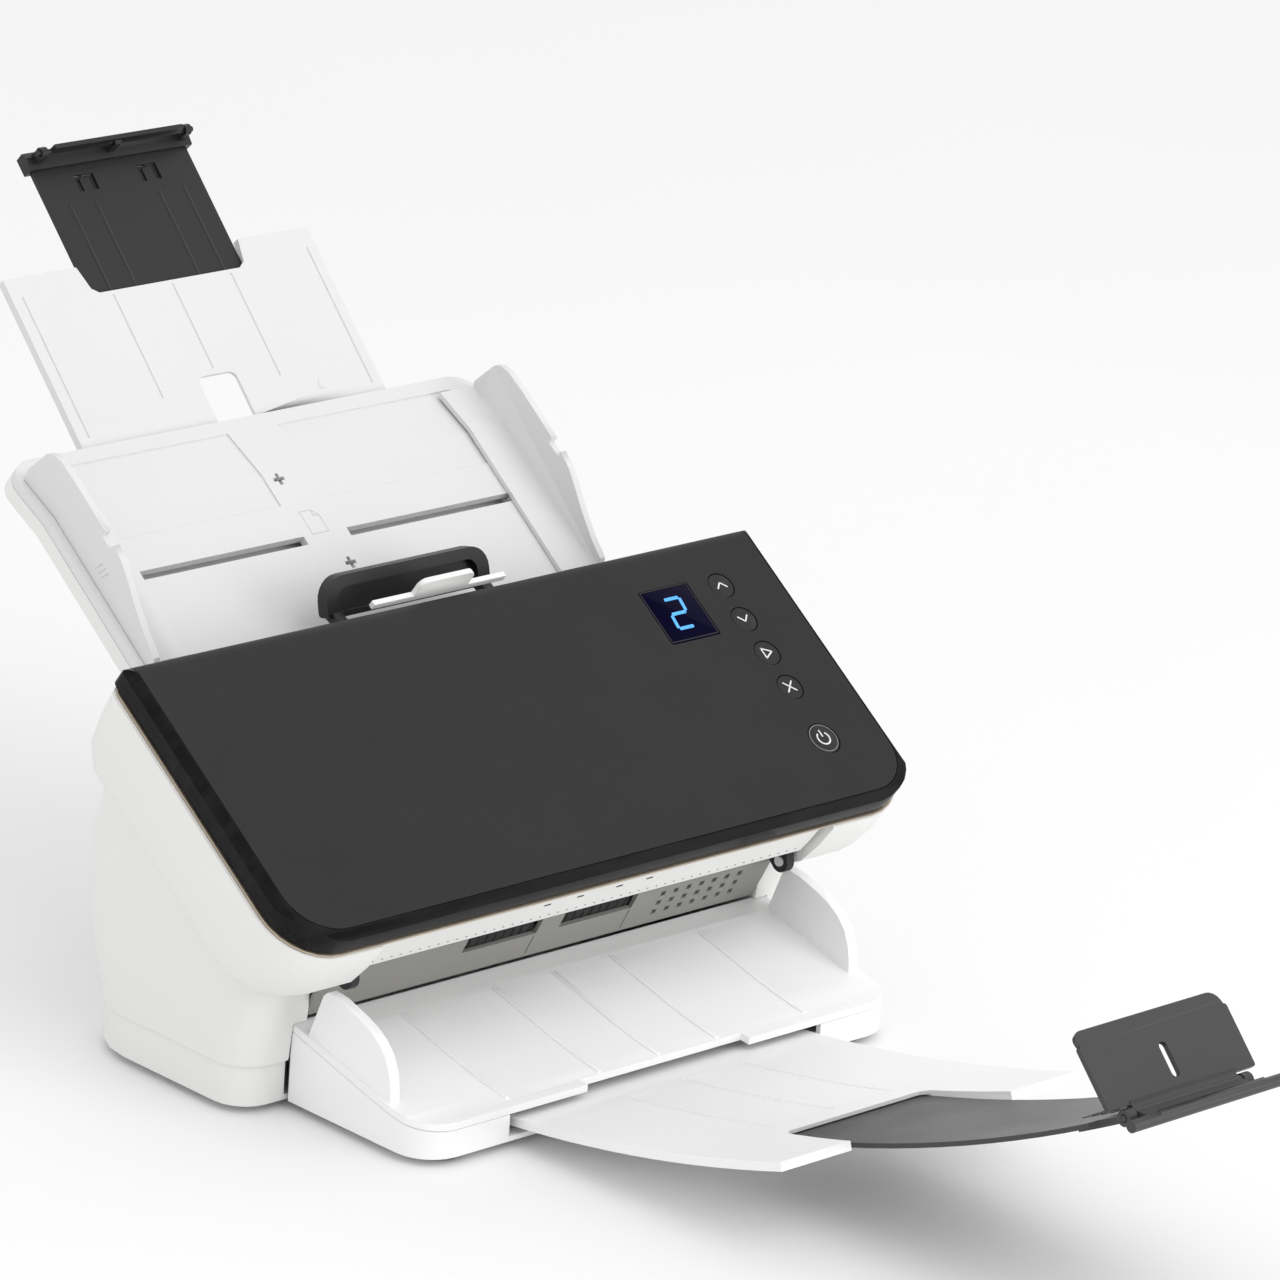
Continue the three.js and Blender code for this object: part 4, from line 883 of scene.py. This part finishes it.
@dataclass
class ControlPanel:
    """The slanted black cover with its display, keys and prints. Lengths are in millimetres.

    Attributes:
        shop: Makes the pieces.
        border: From the display's middle to the outside of its border, and the border's width.
        lean: How far the figure leans sideways for each unit of height.
        figure: Half width and half height of the figure, and half a stroke's width.
        gaps: How far a level and an upright stroke of the figure stop short.
        sign_half: Half the width of a key sign's strokes.
        sign_arc: Inner and outer radius of the power sign's arc.
        ring: Outer radius, inner radius and height of the power key's grey ring, a painted highlight.
        dots: Number of dots along the lip.
        dot_margin: From the lip's left end to the first dot.
        dot_share: Share of the lip's width that the dots take up.
        marks: X of each short mark on the lip.
        mark_height: Z of those marks.
        before: How far in front of the lip the search for its surface starts.
        out: The panel's outward direction, which the keys move along.
    """

    shop: Workshop
    border: tuple[float, float] = (12.1, 0.45)
    lean: float = 0.12
    figure: tuple[float, float, float] = (3.9, 6.7, 0.72)
    gaps: tuple[float, float] = (0.3, 0.35)
    sign_half: float = 0.3
    sign_arc: tuple[float, float] = (2.45, 3.1)
    ring: tuple[float, float, float] = (6.2, 5.85, 0.08)
    dots: int = 48
    dot_margin: float = 5
    dot_share: float = 0.955
    marks: tuple[float, ...] = (-26.3, -10.1, 9.3, 24.4)
    mark_height: float = 68.7
    before: float = 20
    out: Vector = field(init=False)

    def build(self) -> None:
        """Makes every piece."""
        self.out = -joint_axis("press_up")
        self.shop.refine("panel_face", Finish.PANEL, 0.25, 40)
        self.shop.refine("panel_rim", Finish.GLOSS, 0.35, 40)
        self.shop.refine("accent_frame", Finish.TRIM, 0.15)
        self.shop.refine("cover_chassis", Finish.DARK, 0.25)
        self.shop.refine("cover_lip", Finish.WHITE, 0.4)
        self.shop.refine("control_board", Finish.BOARD, 0.1)
        self.shop.refine("gap_tab", Finish.WHITE, 0.3)
        self.shop.refine("release_lever", Finish.BLACK, 0.4)
        self._display()
        self._keys()
        self._lip_dark_marks()

    def _on(self, node: str, rise: float) -> Matrix:
        """A frame on the top of a key or the display.

        Args:
            node: The CAD node.
            rise: Height over the node's outer face in millimetres.

        Returns:
            The frame.
        """
        top = max(v.co.dot(self.out) for v in frame["nodes"][node].data.vertices)
        spot = self.shop.centre(node)
        return surface_frame(spot + self.out * (top - spot.dot(self.out) + rise * MM), self.out)

    def _display(self) -> None:
        """The lens, a thin border and the figure."""
        self.shop.refine("display_window", Finish.SCREEN, 0.15)
        place = self._on("display_window", 0.0)
        half, line = self.border[0], self.border[1] / 2
        edge = half - line
        bars = []
        for sign in (-1, 1):
            bars.append(self.shop.bar(0, sign * edge, half, line, place))
            bars.append(self.shop.bar(sign * edge, 0, line, half, place))
        self.shop.hand_over("display_border", self.shop.join(bars), "cover", Finish.SHADOW)
        lean = Matrix.Identity(4)
        lean[0][1] = self.lean
        w, h, t = self.figure
        level, upright = w - self.gaps[0], h / 2 - self.gaps[1]
        segments = [(0, h, level, t), (w, h / 2, t, upright), (0, 0, level, t)]
        segments += [(-w, -h / 2, t, upright), (0, -h, level, t)]
        strokes = [self.shop.bar(x, y, a, b, place @ lean) for x, y, a, b in segments]
        self.shop.hand_over("display_figure", self.shop.join(strokes), "cover", Finish.DIGIT)

    def _keys(self) -> None:
        """The five keys with their signs, and a grey ring round the power key that is a painted highlight."""
        for name in ("up", "down", "start", "stop", "power"):
            node = "button_" + name
            self.shop.refine(node, Finish.KEY, 0.4)
            place = self._on(node, 0.0)
            self.shop.hand_over(node + "_sign", self._sign(name, place), "btn_" + name, Finish.ICON)
        # Painted highlight: a thin grey ring on the power key.
        outer, inner, rise = self.ring
        profile = [(outer, 0), (outer, rise), (inner, rise), (inner, 0), (outer, 0)]
        halo = self.shop.turned(profile, self._on("button_power", 0.0), 48)
        self.shop.hand_over("button_power_ring_highlight", halo, "btn_power", Finish.RING)

    def _sign(self, name: str, place: Matrix) -> bmesh.types.BMesh:
        """The generic sign of a key.

        Args:
            name: The key's name.
            place: The key's face.

        Returns:
            The shape.
        """
        lines = {
            "up": [(-2.3, -1.2, 0, 1.2), (0, 1.2, 2.3, -1.2)],
            "down": [(-2.3, 1.2, 0, -1.2), (0, -1.2, 2.3, 1.2)],
            "start": [(-1.7, -2.3, -1.7, 2.3), (-1.7, 2.3, 2.4, 0), (2.4, 0, -1.7, -2.3)],
            "stop": [(-2.1, -2.1, 2.1, 2.1), (-2.1, 2.1, 2.1, -2.1)],
            "power": [(0, 0.9, 0, 3.5)],
        }
        strokes = [self.shop.stroke(line, self.sign_half, place) for line in lines[name]]
        if name == "power":
            strokes.append(self.shop.arc(self.sign_arc, 125, 285, 19, place))
        return self.shop.join(strokes)

    def _lip_dark_marks(self) -> None:
        """A row of dark dots along the lip's lower edge, painted shade for its perforations, and four short
        dark marks above it.
        """
        low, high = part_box("cover_lip")
        first, run = low.x / MM + self.dot_margin, (high.x - low.x) / MM * self.dot_share
        front, inwards = low.y / MM - self.before, Vector((0, 1, 0))
        shapes = []
        # Dark dots: painted shade standing for the lip's perforations.
        for i in range(self.dots):
            start = (first + run * i / (self.dots - 1), front, low.z / MM + 2.6)
            shapes.append(self.shop.dot(0.4, 8, 0.05, land("cover_lip", start, inwards)))
        for x in self.marks:
            place = land("cover_lip", (x, front, self.mark_height), inwards)
            shapes.append(self.shop.bar(0, 0, 1.7, 0.45, place))
        self.shop.hand_over("lip_dark_marks", self.shop.join(shapes), "cover", Finish.SHADOW)


@dataclass
class OutputTray:
    """The output tray, its sliding extensions and the end stop. Lengths are in millimetres.

    Attributes:
        shop: Makes the pieces.
        edge: Rounded edge of a moulding.
        bars: Number of grip bars.
        bar_first: From the free end to the first grip bar.
        bar_pitch: From one grip bar to the next.
        bar_size: Half length, half width and height of a grip bar.
        above: Height at which the search for the surface starts.
    """

    shop: Workshop
    edge: float = 0.45
    bars: int = 4
    bar_first: float = 24
    bar_pitch: float = 4
    bar_size: tuple[float, float, float] = (13, 0.5, 0.25)
    above: float = 200

    def build(self) -> None:
        """Makes every piece."""
        # The output tray's white carries painted light and is paler than the shell white.
        self.shop.refine("output_housing", Finish.EXIT_WHITE, self.edge)
        self.shop.refine("output_plate", Finish.EXIT_WHITE, self.edge)
        self.shop.refine("output_extension_1", Finish.EXIT_WHITE, 0.4)
        self.shop.refine("output_extension_2", Finish.CHARCOAL, 0.0)
        self.shop.refine("end_stop", Finish.CHARCOAL, 0.0)
        self.shop.refine("exit_wall", Finish.GREY, 0.15)
        self._pull_marks()

    def _pull_marks(self) -> None:
        """Shallow grip bars at the free end of the second extension."""
        low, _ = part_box("output_extension_2")
        a, b, rise = self.bar_size
        bars = []
        for i in range(self.bars):
            start = (0, low.y / MM + self.bar_first + i * self.bar_pitch, self.above)
            place = land("output_extension_2", start, Vector((0, 0, -1)))
            bars.append(self.shop.plate([(-a, -b), (a, -b), (a, b), (-a, b)], rise, place))
        self.shop.hand_over("pull_bars", self.shop.join(bars), "out_ext_2", Finish.CHARCOAL)


@dataclass
class InputTray:
    """The input tray with its guides, extensions and prints. Lengths are in millimetres.

    Attributes:
        shop: Makes the pieces.
        edge: Rounded edge of a moulding.
        sign_start: Where the search for the sheet sign's place starts.
        sheet: Half width and half height of the sheet sign.
        fold: Side of its folded corner.
        hashes: X of each slanted stroke on a guide.
        hash_reach: How far a slanted stroke leans, and half its height.
        hash_start: X, and Y and Z from the guide's middle, where the search for its side starts.
        extension_start: Where the search for the second extension's surface starts.
        ridges: X of each ridge on the second extension, drawn as painted shadow and highlight strokes.
        ridge_run: Lower and upper end of a ridge along the extension.
        windows: X of each clip window.
        window: Half width, lower end and upper end of a clip window.
        window_depth: Depth of the dark plate in a clip window, painted shade for its floor.
        up: The direction out of the tray's face.
    """

    shop: Workshop
    edge: float = 0.4
    sign_start: tuple[float, float, float] = (-2, 162, 260)
    sheet: tuple[float, float] = (4, 5.2)
    fold: float = 2.6
    hashes: tuple[float, ...] = (-2.2, 0, 2.2)
    hash_reach: tuple[float, float] = (1.3, 2.2)
    hash_start: tuple[float, float, float] = (170, -8, -4)
    extension_start: tuple[float, float, float] = (0, 248, 300)
    ridges: tuple[float, ...] = (-28, -15.6, 15.6, 28)
    ridge_run: tuple[float, float] = (-5.5, 46)
    windows: tuple[float, float] = (-15.4, 15.4)
    window: tuple[float, float, float] = (4.7, 50.9, 57.6)
    window_depth: float = 1.48
    up: Vector = field(init=False)

    def build(self) -> None:
        """Makes every piece."""
        self.up = joint_axis("pinion_turn")
        # The input tray's white carries painted shade and is darker than the shell white.
        self.shop.refine("tray_top", Finish.TRAY_WHITE, self.edge)
        self.shop.refine("tray_under", Finish.WHITE, self.edge)
        for side in ("left", "right"):
            self.shop.refine("guide_" + side, Finish.TRAY_WHITE, 0.0)
        self.shop.refine("guide_pinion", Finish.GEAR, 0.0)
        self.shop.refine("input_extension_1", Finish.TRAY_WHITE, self.edge)
        self.shop.refine("input_extension_2", Finish.BLACK, 0.2)
        self.shop.refine("paper_stop", Finish.BLACK, 0.2)
        self._page_sign()
        self._guide_marks()
        self._paint_extension_shading()

    def _page_sign(self) -> None:
        """A faint sheet with a folded corner between the two slots."""
        place = land("tray_top", self.sign_start, Vector((0, 0, -1)))
        (a, b), c = self.sheet, self.fold
        corners = [(-a, -b), (a, -b), (a, b - c), (a - c, b), (-a, b), (-a, -b)]
        edges = [(*one, *other) for one, other in zip(corners, corners[1:])]
        edges += [(a - c, b, a - c, b - c), (a - c, b - c, a, b - c)]
        strokes = [self.shop.stroke(edge, 0.14, place) for edge in edges]
        self.shop.hand_over("tray_sign", self.shop.join(strokes), "tray", Finish.MARK)

    def _guide_marks(self) -> None:
        """Three slanted strokes on the outside of each guide."""
        slope = self.up.cross(Vector((1, 0, 0)))
        reach, half = self.hash_reach
        x, dy, dz = self.hash_start
        for side, sign in (("left", -1), ("right", 1)):
            low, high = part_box("guide_" + side)
            middle = (low + high) / 2 / MM
            start = (sign * x, middle.y + dy, middle.z + dz)
            place = land("guide_" + side, start, Vector((-sign, 0, 0)), slope)
            strokes = [self.shop.stroke((at, -half, at + reach, half), 0.22, place) for at in self.hashes]
            mark = self.shop.join(strokes)
            self.shop.hand_over(f"guide_{side}_mark", mark, f"guide_{side[0]}", Finish.MARK)

    def _paint_extension_shading(self) -> None:
        """Painted shadow and highlight strokes for the ridges down the second extension, and dark plates
        painted as shade in its clip windows.
        """
        place = land("input_extension_2", self.extension_start, Vector((0, 0, -1)))
        low, high = self.ridge_run
        # Dark strokes beside each ridge: painted shadow.
        dark = [self.shop.stroke((x, low, x, high), 0.45, place) for x in self.ridges]
        # Charcoal strokes along each ridge: painted highlight.
        lit = [x + 0.75 for x in self.ridges]
        light = [self.shop.stroke((x, low, x, high), 0.2, place) for x in lit]
        # Dark plates in the clip windows: painted shade.
        sunk = place @ Matrix.Translation((0, 0, -self.window_depth * MM))
        half, foot, top = self.window
        for x in self.windows:
            outline = [(x - half, foot), (x + half, foot), (x + half, top), (x - half, top)]
            dark.append(self.shop.plate(outline, 0.25, sunk))
        self.shop.hand_over("extension_shadows", self.shop.join(dark), "in_ext_2", Finish.SHADOW)
        self.shop.hand_over("extension_ridge_highlights", self.shop.join(light), "in_ext_2", Finish.CHARCOAL)


@dataclass
class PaperPath:
    """Rollers, sensors and the frame that carries them. Lengths are in millimetres.

    Attributes:
        shop: Makes the pieces.
        bore: Radius of a tyre's bore.
        corner: How far a tyre's corners are cut back.
        slack: How far a tyre stays inside its CAD radius.
        pitch: Room along a tyre for each groove.
        groove: Depth of a groove.
        groove_half: Half a groove's width at its mouth and at its floor.
        tyres: Each tyre's node and the body it rides on.
    """

    shop: Workshop
    bore: float = 3.3
    corner: float = 0.4
    slack: float = 0.02
    pitch: float = 4
    groove: float = 0.35
    groove_half: tuple[float, float] = (0.5, 0.25)
    tyres: dict[str, str] = field(
        default_factory=lambda: {
            "feed_tyre": "feed_roller",
            "drive_tyre_left": "drive_roller",
            "drive_tyre_right": "drive_roller",
            "exit_tyre_left": "exit_roller",
            "exit_tyre_right": "exit_roller",
        }
    )

    def build(self) -> None:
        """Makes every piece."""
        self.shop.refine("transport_frame", Finish.DARK, 0.25)
        for node in ("lower_sensor", "upper_sensor"):
            self.shop.refine(node, Finish.SHADOW, 0.3)
        for node in ("feed_shaft", "drive_shaft", "exit_shaft", "pinch_roller"):
            self.shop.refine(node, Finish.STEEL, 0.25)
        self.shop.refine("separation_roller", Finish.RUBBER, 0.4)
        for node, body in self.tyres.items():
            self._tyre(node, body)

    def _tyre(self, node: str, body: str) -> None:
        """A ground tyre with shallow grooves.

        Args:
            node: The CAD node it stands for.
            body: Its body.
        """
        low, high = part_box(node)
        radius = (high.z - low.z) / 2 / MM - self.slack
        length = (high.x - low.x) / MM
        count = int(length // self.pitch)
        inside, cut = radius - self.groove, self.corner
        mouth, floor = self.groove_half
        outline = [(self.bore, 0), (radius - cut, 0), (radius, cut)]
        for i in range(count):
            at = self.pitch / 2 + i * (length - self.pitch) / max(count - 1, 1)
            outline += [(radius, at - mouth), (inside, at - floor)]
            outline += [(inside, at + floor), (radius, at + mouth)]
        outline += [(radius, length - cut), (radius - cut, length), (self.bore, length), (self.bore, 0)]
        middle = (low + high) / 2
        start = Vector((low.x, middle.y, middle.z))
        place = Matrix.Translation(start) @ Matrix.Rotation(math.radians(90), 4, "Y")
        tyre = self.shop.turned(outline, place, 48)
        self.shop.hand_over(node + "_skin", tyre, body, Finish.RUBBER, (node,))


@dataclass
class Drive:
    """Motor, gears, boards and sockets.

    Attributes:
        shop: Makes the pieces.
    """

    shop: Workshop

    def build(self) -> None:
        """Makes every piece."""
        for node in ("drive_gear", "exit_gear", "feed_gear", "feed_idler", "main_gear", "cross_shaft"):
            self.shop.refine(node, Finish.GEAR, 0.12)
        self.shop.refine("motor", Finish.STEEL, 0.4)
        self.shop.refine("motor_gear", Finish.STEEL, 0.12)
        self.shop.refine("main_board", Finish.BOARD, 0.15)
        self.shop.refine("usb_port", Finish.STEEL, 0.15)
        self.shop.refine("dc_inlet", Finish.BLACK, 0.25)


# ---------------------------------------------------------------- studio
@dataclass(frozen=True)
class Lamp:
    """A soft square panel of light that faces the origin.

    Attributes:
        name: Its name.
        spot: Its middle in metres.
        size: Its side in metres.
        power: Its power in watts.
    """

    name: str
    spot: tuple[float, float, float]
    size: float
    power: float

    def build(self) -> None:
        """Hangs the panel."""
        light = bpy.data.lights.new(self.name, "AREA")
        light.size = self.size
        light.energy = self.power
        lamp = bpy.data.objects.new(self.name, light)
        lamp.location = self.spot
        lamp.rotation_euler = (-Vector(self.spot)).to_track_quat("-Z", "Y").to_euler()
        bpy.context.scene.collection.objects.link(lamp)


@dataclass
class Studio:
    """Floor, lights and camera.

    Attributes:
        spot: The camera's place in metres.
        across: The direction to the right of its view.
        upward: The direction to the top of its view.
        lens: Its focal length in millimetres.
        surround: Strength of the white surround.
        lamps: The panels of light.
    """

    spot: tuple[float, float, float] = (-1.76819, -1.77746, 0.99685)
    across: tuple[float, float, float] = (0.7212, -0.6892, 0.0700)
    upward: tuple[float, float, float] = (0.1701, 0.2742, 0.9465)
    lens: float = 208.1
    surround: float = 0.95
    lamps: tuple[Lamp, ...] = (
        Lamp("key", (-0.3, -1.9, 2.3), 1.6, 12),
        Lamp("front", (1.0, -2.3, 0.75), 1.3, 17),
        Lamp("top", (0.3, 0.4, 2.6), 2.0, 3),
    )

    def build(self) -> None:
        """Makes everything."""
        self._floor()
        self._lights()
        self._camera()

    def _floor(self) -> None:
        """A wide pale floor."""
        shape = bmesh.new()
        bmesh.ops.create_grid(shape, x_segments=1, y_segments=1, size=14)
        mesh = bpy.data.meshes.new("floor")
        shape.to_mesh(mesh)
        shape.free()
        g = Graph("studio_floor")
        tone = g.blend(g.noise(1.5, 2), (0.86, 0.86, 0.86), (0.90, 0.90, 0.90))
        mesh.materials.append(g.finish({"Base Color": tone, "Roughness": 0.85}, g.noise(50, 2), 0.0001))
        floor = bpy.data.objects.new("floor", mesh)
        bpy.context.scene.collection.objects.link(floor)

    def _lights(self) -> None:
        """A white surround and the soft panels."""
        world = bpy.data.worlds.new("studio")
        world.use_nodes = True
        background = world.node_tree.nodes["Background"]
        background.inputs["Color"].default_value = (1, 1, 1, 1)
        background.inputs["Strength"].default_value = self.surround
        bpy.context.scene.world = world
        for lamp in self.lamps:
            lamp.build()

    def _camera(self) -> None:
        """The camera, turned as its own axes say."""
        data = bpy.data.cameras.new("camera")
        data.lens = self.lens
        data.sensor_width = 36
        data.clip_end = 50
        camera = bpy.data.objects.new("camera", data)
        x = Vector(self.across).normalized()
        y = Vector(self.upward).normalized()
        turn = Matrix((x, y, x.cross(y))).transposed().to_4x4()
        camera.matrix_world = Matrix.Translation(Vector(self.spot)) @ turn
        bpy.context.scene.collection.objects.link(camera)
        bpy.context.scene.camera = camera
        bpy.context.scene.view_settings.view_transform = "Standard"


def main() -> None:
    """Builds the scanner's looks in order."""
    logging.basicConfig(level=logging.INFO, format="%(message)s")
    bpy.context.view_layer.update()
    shop = Workshop()
    Studio().build()
    for assembly in (
        Shells(shop),
        ControlPanel(shop),
        OutputTray(shop),
        InputTray(shop),
        PaperPath(shop),
        Drive(shop),
    ):
        assembly.build()
        LOG.info("%s built", type(assembly).__name__)
    bpy.context.view_layer.update()


if __name__ == "__main__":
    main()
